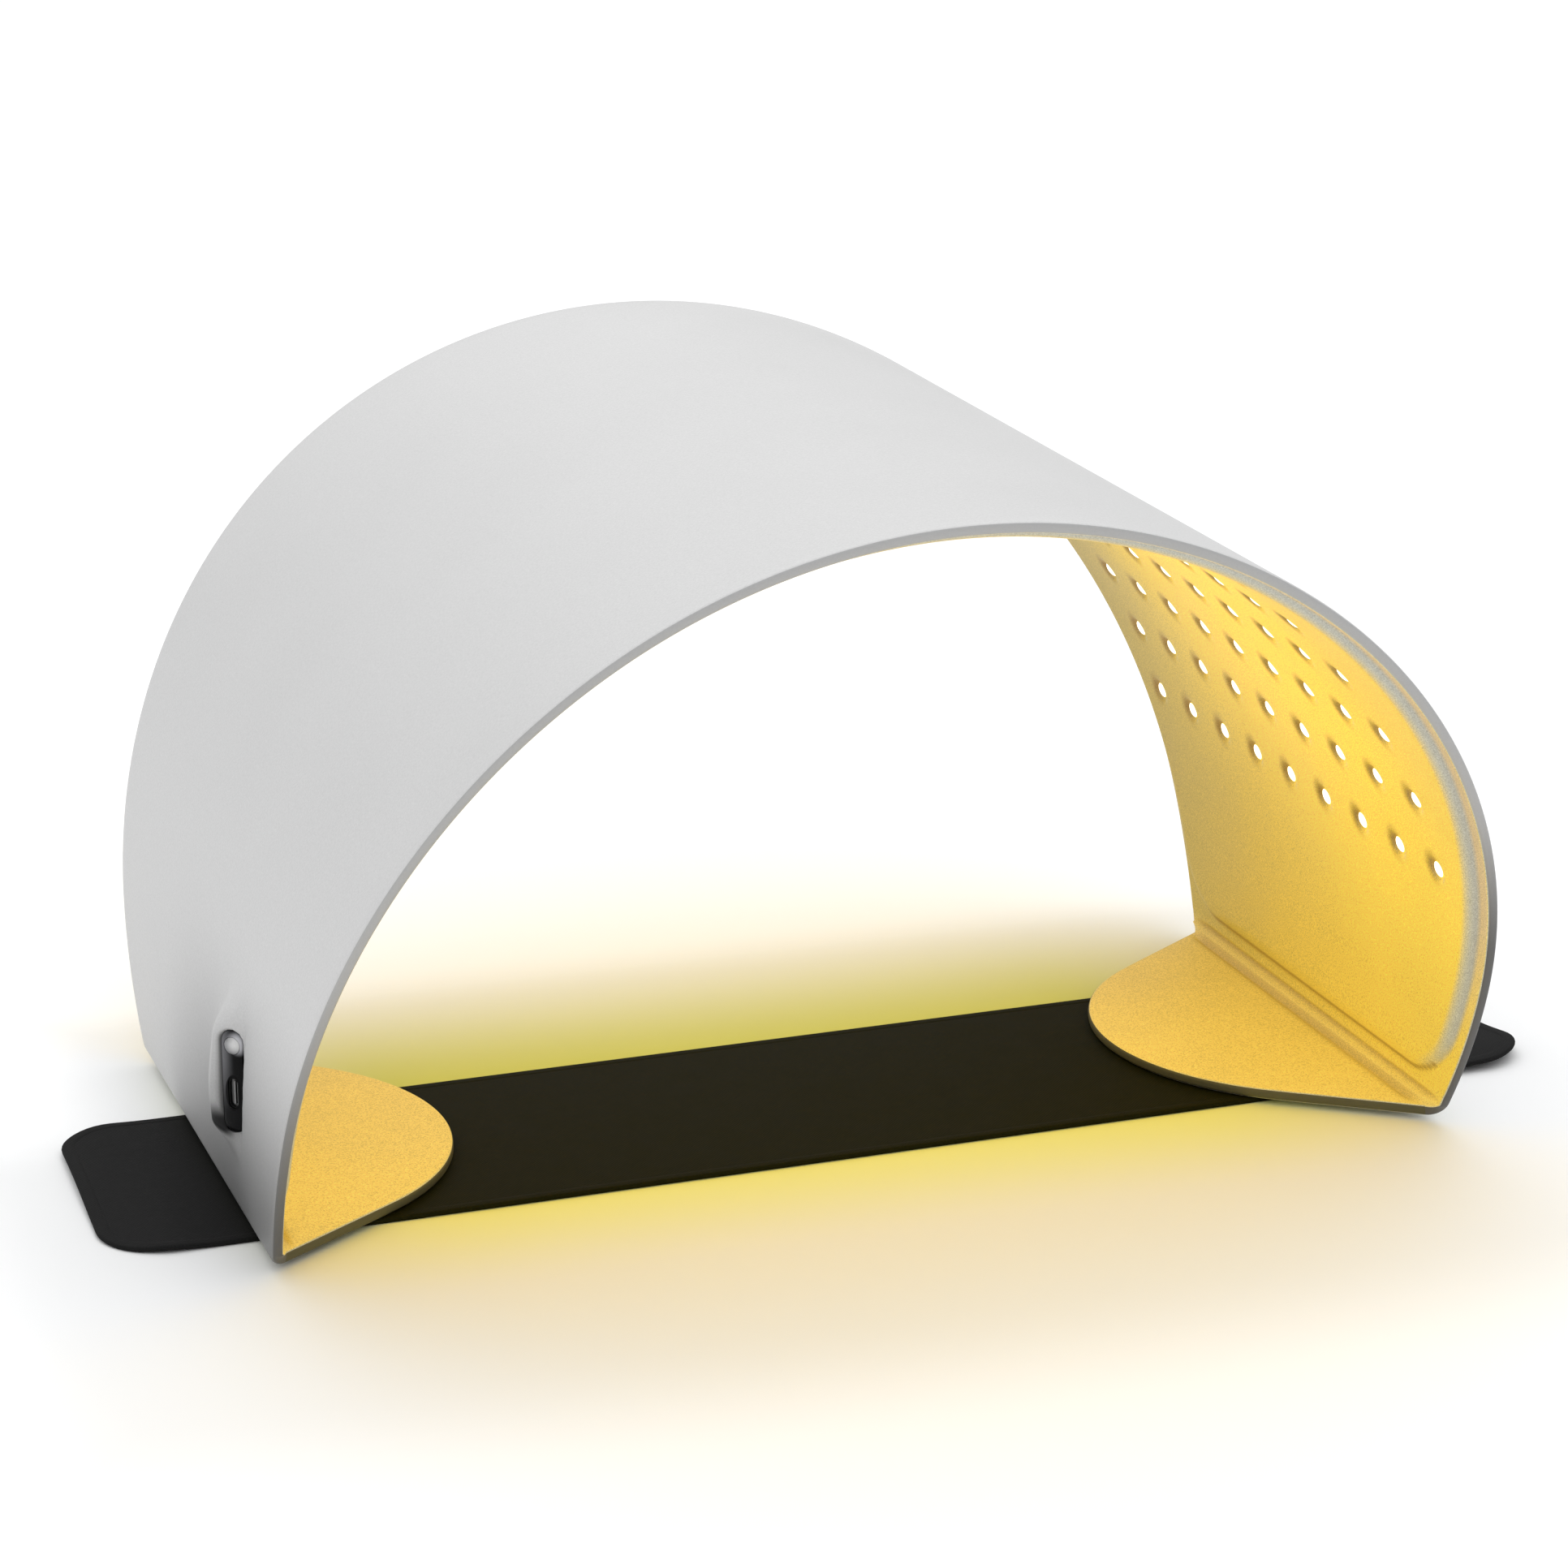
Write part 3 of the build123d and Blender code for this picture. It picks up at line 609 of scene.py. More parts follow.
def lip_ring(port, place, directions, share, out):
    """One ring of the lip and its painted shades. The lip is narrow below and wide at the back."""
    line, shades = [], []
    for direction in directions:
        back = smooth(-1.5 * direction[0])
        narrowed = 1 - LIP_NARROWING * smooth(-1.4 * direction[1] - 0.2)
        across, up = place.outline(direction, port.gap + share * port.lip * narrowed)
        widened = mix(TOP_LIP, FOOT_LIP, smooth(0.5 - up / port.length))
        across -= share * port.lip * port.back_lip * back * widened
        line.append(place.point(across, up, out))
        # Painted shade: low at the back the lip is darkened to a black hollow
        hollow = smooth(2.5 * (0.1 - direction[0])) * smooth((port.hollow_shade_top - up) / port.hollow_shade_fade)
        shades.append(max(hollow, (GAP_SHADE + BACK_GAP_SHADE * back) * smooth(1 - GAP_FADE * share)))
    return line, shades


def port_swell(net, settings, profile, boundary):
    """The reshaped part of the left wall: rings from its boundary to the lip round the port."""
    port = settings.port
    place = PortPlace(settings)
    directions = []
    for index in boundary:
        x, y, z = net.points[index]
        across = (place.y - y) / (port.window_back if y > place.y else port.window_front)
        up = (z - place.z) / port.window_end
        size = math.hypot(across, up)
        directions.append((across / size, up / size))
    rings = [lip_ring(port, place, directions, share, out) for share, out in LIP_SECTION]
    outermost, outer_shades = rings[-1]
    for share in SWELL_SHARES:
        line = []
        for index, (x, y, z) in enumerate(outermost):
            far = net.points[boundary[index]]
            wall_y, wall_z = mix(y, far[1], share), mix(z, far[2], share)
            lift = x + profile.wall_x_at(z)
            run = port.back_run if wall_y > y else port.front_run
            distance = math.hypot((wall_y - y) / run, (wall_z - z) / port.end_run)
            line.append((lift * (1 - smooth(distance)) - profile.wall_x_at(wall_z), wall_y, wall_z))
        rings.append((line, [shade * smooth(1 - share / SWELL_SHADE_END) for shade in outer_shades]))
    previous = boundary
    for line, shades in reversed(rings):
        current = [net.point(*point, shade) for point, shade in zip(line, shades)]
        net.ring(previous, current)
        previous = current
    net.face(previous)


def outer_side(net, settings, profile, sweeps):
    """The arch's outer side, with the swell round the port in the left wall."""
    arch, port = settings.arch, settings.port
    grid = []
    for sweep in sweeps:
        x, z = profile.at(sweep, 0)
        depth = profile.rim(z) - arch.edge_radius
        grid.append([(x, y, z) for y in spaced(-depth, depth, arch.outer_columns)])
    place = PortPlace(settings)
    rows = [row for row, line in enumerate(grid)
            if line[0][0] < 0 and abs(line[0][2] - place.z) < port.window_end]
    columns = [column for column, point in enumerate(grid[rows[len(rows) // 2]])
               if place.y - port.window_front < point[1] < place.y + port.window_back]
    block = (rows[0], columns[0], rows[-1] - rows[0], columns[-1] - columns[0])
    indices = []
    for row, line in enumerate(grid):
        kept = []
        for column, point in enumerate(line):
            hidden = rows[0] < row < rows[-1] and columns[0] < column < columns[-1]
            kept.append(None if hidden else net.point(*point))
        indices.append(kept)
    net.around(indices, block)
    port_swell(net, settings, profile, [indices[row][column] for row, column in border(*block)])
    return indices


def arch_skin(settings, profile, materials):
    """The silicone arch in one closed mesh: outer side, rounded rim, margin, pad and dimples."""
    arch = settings.arch
    net = Net()
    sweeps, first_row = arch_sweeps(settings, profile)
    inner = inner_side(net, settings, profile, sweeps, first_row)
    outer = outer_side(net, settings, profile, sweeps)
    chains = {-1: [], 1: []}
    for side, end in ((-1, 0), (1, -1)):
        for row, sweep in enumerate(sweeps):
            places = []
            for offset in (profile.sheet, 0):
                x, z = profile.at(sweep, offset)
                places.append((x, z, profile.rim(z)))
            chains[side].append(rim_chain(net, *places, side, arch, (inner[row][end], outer[row][end])))
        for first, second in zip(chains[side], chains[side][1:]):
            net.rim_strip(first, second, RIM)
    net.cap(inner, outer, chains, 0)
    net.cap(inner, outer, chains, -1)
    return net.piece("arch_skin", materials)


# Rows of faces over the fold: up the wall's foot, round the corner, and over the relief on the flap
FOOT_ROWS, CORNER_ROWS, RELIEF_ROWS = 12, 10, 12


def fold_section(settings, profile):
    """The fold seen from the front, on the right side, from the seam to where the flap's tip begins.

    Each row has an inner point, its direction out of the surface, an outer point and half the depth there."""
    arch, flaps = settings.arch, settings.flaps
    top = profile.rest + profile.sheet
    seam = profile.heading_at(arch.seam_height)
    corner_x = arch.width / 2 - profile.sheet
    inner_radius, outer_radius = flaps.inner_corner, flaps.outer_corner
    low_inner = top + inner_radius
    low_outer = profile.rest + outer_radius
    half_width = profile.wall_x_at(low_outer)
    flare = math.acos(flaps.tip_radius / profile.fold_half)
    slope = math.tan(flare)
    rows = []
    for share in spaced(0.0, 1.0, FOOT_ROWS)[:-1]:
        z_inner = mix(profile.at(seam, profile.sheet)[1], low_inner, share)
        z_outer = mix(arch.seam_height, low_outer, share)
        heading = math.asin((z_inner - profile.wall_z) / (profile.wall_radius - profile.sheet))
        inner = (profile.at(heading, profile.sheet)[0], z_inner)
        rows.append((inner, (-1.0, 0.0), (profile.wall_x_at(z_outer), z_outer), profile.rim(z_outer)))
    turned_depth = profile.fold_half - slope * (arch.width / 2 - half_width + outer_radius)
    for share in spaced(0.0, 1.0, CORNER_ROWS):
        cosine, sine = math.cos(QUARTER_TURN * share), math.sin(QUARTER_TURN * share)
        inner = (corner_x - inner_radius + inner_radius * cosine, low_inner - inner_radius * sine)
        outer = (half_width - outer_radius + outer_radius * cosine, low_outer - outer_radius * sine)
        rows.append((inner, (-cosine, sine), outer, mix(profile.rim(low_outer), turned_depth, share)))
    start = rows[-1]
    tip_x = arch.width / 2 - flaps.tip_radius * math.sin(flare)
    near_end = corner_x - inner_radius - flaps.rib_width - flaps.groove_width
    xs = spaced(start[0][0], near_end, RELIEF_ROWS)[1:]
    xs += spaced(near_end, tip_x, round((near_end - tip_x) / flaps.row_step))[1:]
    for x in xs:
        outer_x = mix(start[2][0], tip_x, (start[0][0] - x) / (start[0][0] - tip_x))
        depth = profile.fold_half - slope * (arch.width / 2 - outer_x)
        rows.append(((x, top), (0.0, 1.0), (outer_x, profile.rest), depth))
    return rows


# How far each groove's shade reaches, in groove widths, and how strong it is: on the flap, and on the wall
FLAP_CREASE, WALL_CREASE = (1.9, 0.55), (0.6, 0.6)


def fold_relief(flaps, rows):
    """The height of the rib and its grooves at each row, and how the grooves are shaded there."""
    walked = [0.0]
    for first, second in zip(rows, rows[1:]):
        walked.append(walked[-1] + math.dist(first[0], second[0]))
    corner = next(index for index, row in enumerate(rows) if row[1][1] >= math.sin(QUARTER_TURN / 2))
    half = flaps.rib_width / 2
    reliefs, creases = [], []
    for distance in walked:
        away = abs(distance - walked[corner])
        dip = (away - half) / flaps.groove_width
        if dip < 0:
            reliefs.append(flaps.rib_height * math.cos(QUARTER_TURN * away / half) ** 0.8)
        else:
            reliefs.append(-flaps.groove_depth * math.sin(HALF_TURN * clamp(dip)) ** 1.2)
        reach, strength = FLAP_CREASE if distance > walked[corner] else WALL_CREASE
        creases.append(strength * smooth(1 - abs(dip - 0.35) / reach))
    return reliefs, creases


TIP_STEPS = 56


def flap_tip(net, settings, profile, side, chains, row):
    """The rim round a flap's tip, from its front chain to its back one."""
    arch, flaps = settings.arch, settings.flaps
    opening = math.asin(flaps.tip_radius / profile.fold_half)
    tip = [chains[-1][-1]]
    for turn in spaced(-opening, opening, TIP_STEPS)[1:-1]:
        chain = []
        for share, inset in edge_steps(arch):
            reach = flaps.tip_radius - inset
            x = side * (arch.width / 2 - reach * math.cos(turn))
            chain.append(net.point(x, reach * math.sin(turn), mix(row[0][1], row[2][1], share)))
        tip.append(chain)
    tip.append(chains[1][-1])
    for first, second in zip(tip, tip[1:]):
        net.rim_strip(first, second, FLAP_RIM)
    return tip


def flap_skin(settings, profile, side, materials):
    """One flap with its fold and the foot of its wall, as a closed mesh that bends at the fold."""
    arch, flaps = settings.arch, settings.flaps
    net = Net()
    rows = fold_section(settings, profile)
    reliefs, creases = fold_relief(flaps, rows)
    flare = math.acos(flaps.tip_radius / profile.fold_half)
    inner, outer, chains = [], [], {-1: [], 1: []}
    for (low, direction, high, depth), relief, crease in zip(rows, reliefs, creases):
        lean = (math.sin(flare), math.cos(flare)) if len(inner) == len(rows) - 1 else (0.0, 1.0)
        inside, outside = [], []
        for share in spaced(-1.0, 1.0, flaps.columns):
            y = share * (depth - arch.edge_radius * lean[1])
            fade = smooth((depth - abs(y)) / flaps.relief_fade)
            lift = relief * fade
            bend = arch.edge_radius * lean[0] if abs(share) == 1 else 0.0
            x = side * (low[0] + direction[0] * lift + bend)
            inside.append(net.point(x, y, low[1] + direction[1] * lift, crease * fade))
            outside.append(net.point(side * (high[0] + bend), y, high[1]))
        inner.append(inside)
        outer.append(outside)
        places = [(side * x, z, depth) for x, z in (low, high)]
        for end_side, end in ((-1, 0), (1, -1)):
            ends = (inside[end], outside[end])
            chains[end_side].append(rim_chain(net, *places, end_side, arch, ends, (side * lean[0], lean[1])))
    for index in range(len(rows) - 1):
        flat = rows[index][0][1] <= profile.rest + profile.sheet
        net.strip(inner[index], inner[index + 1], INSIDE)
        net.strip(outer[index], outer[index + 1])
        for end_side in (-1, 1):
            # The flat part's rim takes the flaps' edge finish, with its painted shade
            net.rim_strip(chains[end_side][index], chains[end_side][index + 1], FLAP_RIM if flat else RIM)
    net.cap(inner, outer, chains, 0)
    tip = flap_tip(net, settings, profile, side, chains, rows[-1])
    net.face(inner[-1] + [chain[0] for chain in tip[-2:0:-1]], INSIDE)
    net.face(outer[-1] + [chain[-1] for chain in tip[-2:0:-1]])
    return net.piece(("right" if side > 0 else "left") + "_flap_skin", materials)


# Each dome's rings up, and points round. The lowest rings have the dimmer finish.
DOME_RINGS, DOME_POINTS, DIM_RINGS = 6, 24, 2


def window_row(settings, profile, row, materials):
    """The clear windows of one row, each a low dome in its dimple."""
    leds = settings.leds
    net = Net()
    surface = profile.sheet + settings.pad.height
    sweep = leds.first_angle + row * (HALF_TURN - 2 * leds.first_angle) / (leds.rows - 1)
    radius = profile.crown_radius - surface
    levels = [(leds.window_radius, -2 * leds.dimple_depth)]
    for turn in spaced(0.0, QUARTER_TURN, DOME_RINGS)[:-1]:
        rise = leds.dome_rise * math.sin(turn) - leds.dimple_depth
        levels.append((leds.window_radius * math.cos(turn), rise))
    for column in range(leds.columns):
        middle = (column - (leds.columns - 1) / 2) * leds.pitch
        previous = None
        for level, (reach, rise) in enumerate(levels):
            ring = []
            for turn in spaced(0.0, 2 * HALF_TURN, DOME_POINTS)[:-1]:
                x, z = profile.at(sweep + reach * math.sin(turn) / radius, surface + rise)
                ring.append(net.point(x, middle + reach * math.cos(turn), z))
            if previous:
                net.ring(previous, ring, 0 if level > DIM_RINGS else 1)
            else:
                net.face(ring, 1)
            previous = ring
        x, z = profile.at(sweep, surface + leds.dome_rise - leds.dimple_depth)
        crown = net.point(x, middle, z)
        for index in range(DOME_POINTS):
            net.face((previous[index], previous[(index + 1) % DOME_POINTS], crown))
    return net.piece(f"led_domes_{row + 1:02d}", materials)


# Faces round each of the band's corners
CORNER_STEPS = 12
# The left end's ripples: their lengths along and across it, and how they slant
LEFT_WAVE, LEFT_CROSS_WAVE, LEFT_SLANT = 0.0052, 0.019, 14
# The right end's: their lengths along and across it, where the crest is, and how high each part of them is
RIGHT_WAVE, RIGHT_CROSS_WAVE, RIGHT_CREST = 0.006, 0.011, 0.022
RIGHT_LEVEL, RIGHT_CROSS_SWING, RIGHT_SWING = 2.2, 1.6, 0.5


class StrapPlace:
    """Where the band lies, and how its free ends ripple."""

    def __init__(self, settings):
        self.sizes = settings.strap
        self.free_x = settings.arch.width / 2 + settings.arch.sheet

    def point(self, along, across, z):
        """A point of the band, which is turned and shifted, with its ends cut a little askew."""
        sizes = self.sizes
        sine, cosine = math.sin(sizes.turn), math.cos(sizes.turn)
        reach = (2 * abs(along) / sizes.length) ** 4
        if along < 0:
            along -= sizes.left_flare * reach * (0.5 - across / sizes.width)
        else:
            along -= sizes.right_draw * reach * (0.5 + across / sizes.width)
        x = sizes.shift_x + along * cosine - across * sine
        y = sizes.shift_y + along * sine + across * cosine
        return x, y, z + self.lift(x, y)

    def lift(self, x, y):
        """How far the band is lifted off the floor by the ripples, which differ at its two ends."""
        free = smooth((abs(x) - self.free_x) / (self.sizes.length / 2 - self.free_x))
        if x < 0:
            wave = 1 + math.sin(x / LEFT_WAVE + LEFT_SLANT * y) * math.cos(y / LEFT_CROSS_WAVE)
        else:
            wave = RIGHT_LEVEL + RIGHT_CROSS_SWING * math.cos((y - RIGHT_CREST) / RIGHT_CROSS_WAVE)
            wave += RIGHT_SWING * math.sin(x / RIGHT_WAVE)
        return free * wave * self.sizes.ripple

    def outline(self, inset):
        """The band's rounded outline, an inset inside it, as points (along, across)."""
        sizes = self.sizes
        radius = sizes.corner_radius - inset
        reaches = (sizes.length / 2 - sizes.corner_radius, sizes.width / 2 - sizes.corner_radius)
        corners = []
        for quarter, sides in enumerate(((1, 1), (-1, 1), (-1, -1), (1, -1))):
            turns = [QUARTER_TURN * (quarter + index / CORNER_STEPS) for index in range(CORNER_STEPS + 1)]
            corners.append([(sides[0] * reaches[0] + radius * math.cos(turn),
                             sides[1] * reaches[1] + radius * math.sin(turn)) for turn in turns])
        points = []
        for quarter, corner in enumerate(corners):
            start, end = corner[-1], corners[(quarter + 1) % 4][0]
            steps = round(2 * reaches[quarter % 2] / sizes.row_step)
            between = zip(*(spaced(first, second, steps)[1:-1] for first, second in zip(start, end)))
            points += corner + list(between)
        return points


# The binding's rounded outer edge in steps, and the middle of its flat sides as a share of its width
BINDING_STEPS, BINDING_MIDDLE = 6, 0.6
# Its inner edge: how high its foot is, and the width and height of its bevel
FOOT_HEIGHT, BEVEL_WIDTH, BEVEL_HEIGHT = 0.0001, 0.0003, 0.0002


def strap_binding(settings, material):
    """The bound edge all round the band."""
    place = StrapPlace(settings)
    sizes = settings.strap
    net = Net()
    half, edge, width = sizes.edge / 2, sizes.edge, sizes.binding
    section = [(half * (1 - math.cos(turn)), half + half * math.sin(turn))
               for turn in spaced(QUARTER_TURN, -QUARTER_TURN, BINDING_STEPS)]
    section += [(width * BINDING_MIDDLE, 0.0), (width, FOOT_HEIGHT), (width, half * 0.4),
                (width, edge - BEVEL_HEIGHT), (width - BEVEL_WIDTH, edge), (width * BINDING_MIDDLE, edge)]
    rings = []
    for inset, z in section:
        rings.append([net.point(*place.point(along, across, z)) for along, across in place.outline(inset)])
    for first, second in zip(rings, rings[1:] + rings[:1]):
        net.ring(first, second)
    return net.piece("strap_edge", [material])


# How far the cloth goes in under the binding, its faces round each corner, and its columns of faces
CLOTH_TUCK, CLOTH_CORNER_STEPS, CLOTH_COLUMNS = 0.0004, 14, 30


def strap_cloth(settings, material):
    """The band's cloth inside its bound edge."""
    place = StrapPlace(settings)
    sizes = settings.strap
    net = Net()
    inset = sizes.binding - CLOTH_TUCK
    half_width = sizes.width / 2 - inset
    radius = sizes.corner_radius - inset
    straight = sizes.length / 2 - inset - radius
    turns = spaced(0.0, QUARTER_TURN, CLOTH_CORNER_STEPS)[:-1]
    alongs = [-straight - radius * math.cos(turn) for turn in turns]
    alongs += spaced(-straight, straight, round(2 * straight / sizes.row_step))
    alongs += [-along for along in reversed(alongs[:CLOTH_CORNER_STEPS])]
    layers = []
    for z in (sizes.cloth, sizes.edge - sizes.cloth):
        layer = []
        for along in alongs:
            over = max(abs(along) - straight, 0.0)
            width = half_width - radius + math.sqrt(max(radius**2 - over**2, 0.0))
            layer.append([net.point(*place.point(along, across, z))
                          for across in spaced(-width, width, CLOTH_COLUMNS)])
        layers.append(layer)
        for first, second in zip(layer, layer[1:]):
            net.strip(first, second)
    top, bottom = layers
    for side in (0, -1):
        net.strip([line[side] for line in top], [line[side] for line in bottom])
        net.strip(top[side], bottom[side])
    return net.piece("strap_cloth", [material])


class Field:
    """A value that varies over a surface. A sum with it adds a node to its sheet."""

    def __init__(self, sheet, socket):
        self.sheet = sheet
        self.socket = socket

    def __add__(self, other):
        return self.sheet.math("ADD", self, other)

    def __sub__(self, other):
        return self.sheet.math("SUBTRACT", self, other)

    def __rsub__(self, other):
        return self.sheet.math("SUBTRACT", other, self)

    def __mul__(self, other):
        return self.sheet.math("MULTIPLY", self, other)

    def __truediv__(self, other):
        return self.sheet.math("DIVIDE", self, other)

    def __abs__(self):
        return self.sheet.math("ABSOLUTE", self)

    def at_least(self, other):
        return self.sheet.math("MAXIMUM", self, other)

    def root(self):
        return self.sheet.math("SQRT", self.at_least(0.0))

    def step(self, low, high):
        """An even step from 0 at low to 1 at high."""
        inputs = {"Value": self, "From Min": low, "From Max": high}
        return self.sheet.result("ShaderNodeMapRange", "Result", inputs, interpolation_type="SMOOTHSTEP")

    def blend(self, first, second):
        """A colour that passes from the first to the second as the value goes from 0 to 1."""
        return self.sheet.result("ShaderNodeMix", 2, {"Factor": self, 6: first, 7: second}, data_type="RGBA")


class NodeSheet:
    """A short hand for building the nodes of one material or group."""

    def __init__(self, tree):
        self.tree = tree

    def add(self, kind, inputs=(), **settings):
        node = self.tree.nodes.new(kind)
        for name, value in settings.items():
            setattr(node, name, value)
        self.feed(node, dict(inputs))
        return node

    def result(self, kind, output, inputs=(), **settings):
        """One output of a new node, as a field."""
        return Field(self, self.add(kind, inputs, **settings).outputs[output])

    def feed(self, node, inputs):
        """Links each field to its socket of a node, and sets each plain value there."""
        for key, value in inputs.items():
            if isinstance(value, Field):
                self.tree.links.new(value.socket, node.inputs[key])
            else:
                node.inputs[key].default_value = value

    def math(self, operation, *values):
        return self.result("ShaderNodeMath", 0, dict(enumerate(values)), operation=operation)

    def axes(self, coordinates="Object"):
        """The three coordinates of a place on the surface."""
        place = self.result("ShaderNodeTexCoord", coordinates)
        return [Field(self, socket) for socket in self.add("ShaderNodeSeparateXYZ", {0: place}).outputs]

    def attribute(self, name):
        return self.result("ShaderNodeAttribute", "Fac", attribute_name=name)

    def scaled(self, colour_field, share):
        inputs = {0: colour_field, "Scale": share}
        return self.result("ShaderNodeVectorMath", "Vector", inputs, operation="SCALE")

    def noise(self, scale, detail):
        place = self.result("ShaderNodeTexCoord", "Object")
        inputs = {"Vector": place, "Scale": scale, "Detail": detail, "Roughness": 0.6}
        return self.result("ShaderNodeTexNoise", "Fac", inputs)


def rgba(values, share=1.0):
    return tuple(value * share for value in values) + (1.0,)


def grey(level):
    return (level, level, level, 1.0)


def group(name, inputs, outputs):
    """A new node group with named sockets: its nodes, its given fields by name, and its output node."""
    tree = bpy.data.node_groups.new(name, "ShaderNodeTree")
    for label, default in inputs.items():
        kind = "NodeSocketColor" if isinstance(default, tuple) else "NodeSocketFloat"
        socket = tree.interface.new_socket(label, in_out="INPUT", socket_type=kind)
        socket.default_value = default
    for label in outputs:
        kind = "NodeSocketColor" if label == "Color" else "NodeSocketFloat"
        tree.interface.new_socket(label, in_out="OUTPUT", socket_type=kind)
    sheet = NodeSheet(tree)
    source = sheet.add("NodeGroupInput")
    given = {label: Field(sheet, source.outputs[label]) for label in inputs}
    return sheet, given, sheet.add("NodeGroupOutput")


# How much the specks and the clouds of the grain change its colour, and the clouds its roughness
SPECK_SHARE, CLOUD_SHARE, CLOUD_ROUGHNESS = 2.4, 0.4, 0.2


def grain_group():
    """Fine moulded grain: a colour that varies slightly, a roughness, a height and the colour's level."""
    sheet, given, end = group(
        "moulded_grain",
        {"Color": grey(0.5), "Grain Scale": 1600.0, "Cloud Scale": 14.0, "Contrast": 0.05, "Roughness": 0.5},
        ("Color", "Roughness", "Height", "Level"))
    fine = sheet.noise(given["Grain Scale"], 2.0)
    cloud = sheet.noise(given["Cloud Scale"], 4.0) - 0.5
    level = ((fine - 0.5) * SPECK_SHARE + cloud * CLOUD_SHARE) * given["Contrast"] + 1.0
    sheet.feed(end, {"Color": sheet.scaled(given["Color"], level), "Height": fine, "Level": level,
                     "Roughness": cloud * CLOUD_ROUGHNESS + given["Roughness"]})
    return sheet.tree


def weave_group():
    """A plain weave seen from above: its shade and height."""
    sheet, given, end = group("plain_weave", {"Thread Scale": 1500.0}, ("Shade", "Height"))
    x, y, _ = sheet.axes()
    warp = sheet.math("SINE", x * given["Thread Scale"])
    weft = sheet.math("SINE", y * given["Thread Scale"])
    height = warp * weft * 0.5 + 0.5
    sheet.feed(end, {"Shade": sheet.noise(90.0, 4.0) * 0.5 + height * 0.3, "Height": height})
    return sheet.tree


class Finish(NodeSheet):
    """One material: its shader, and the placed pattern that feeds it."""

    def __init__(self, name, pattern=None):
        self.material = bpy.data.materials.new(name)
        self.material.use_nodes = True
        super().__init__(self.material.node_tree)
        self.shader = self.tree.nodes["Principled BSDF"]
        self.pattern = pattern and self.add("ShaderNodeGroup", node_tree=pattern)

    def patterned(self, output):
        return Field(self, self.pattern.outputs[output])

    def shade(self, **values):
        """Feeds or sets the shader's inputs, named with _ for each space."""
        self.feed(self.shader, {label.replace("_", " "): value for label, value in values.items()})
        return self.material

    def bump(self, height, distance, strength=1.0):
        return self.result("ShaderNodeBump", "Normal",
                           {"Height": height, "Distance": distance, "Strength": strength})

    def moulded(self, tint, roughness, scale=1600.0, contrast=0.05, bump=0.00002, **values):
        """Feeds the shader from the moulded grain in a tint."""
        self.feed(self.pattern, {"Color": tint, "Roughness": roughness, "Grain Scale": scale,
                                 "Contrast": contrast})
        if "Normal" not in values:
            values["Normal"] = self.bump(self.patterned("Height"), bump)
        return self.shade(Base_Color=self.patterned("Color"), Roughness=self.patterned("Roughness"), **values)


# Where the inner side's light changes. Each pair is where a change starts and where it is complete, from
# the back to the front (-Y) or in height.
DEEP_RUN = (0.16, -0.06)
HIGH_RISE, HIGH_RUN = (0.05, 0.13), (0.135, -0.035)
FRONT_RUN = (-0.06, -0.13)
FLAP_HEIGHTS = (0.012, 0.005)
BAND_FOOT, BAND_TOP, BAND_RUN = (0.03, 0.07), (0.15, 0.10), (0.03, -0.06)
# How much a face looks to the front or back where it has lost the light, and where it has all of it
TURNED_AWAY = (0.74, 0.06)
# How much of the painted shade's colour shows in a crease, and how much of the painted glow it loses
CREASE_TINT, CREASE_LOSS = 0.85, 0.75
# How strongly the light shows: at the back, at the front, in the band, high up, and high up in the band
BACK_LIGHT, FRONT_LIGHT, BAND_LIGHT, HIGH_LIGHT, BRIGHTEST_LIGHT = 0.34, 0.84, 1.20, 1.36, 1.52
TURNED_LIGHT = 0.02


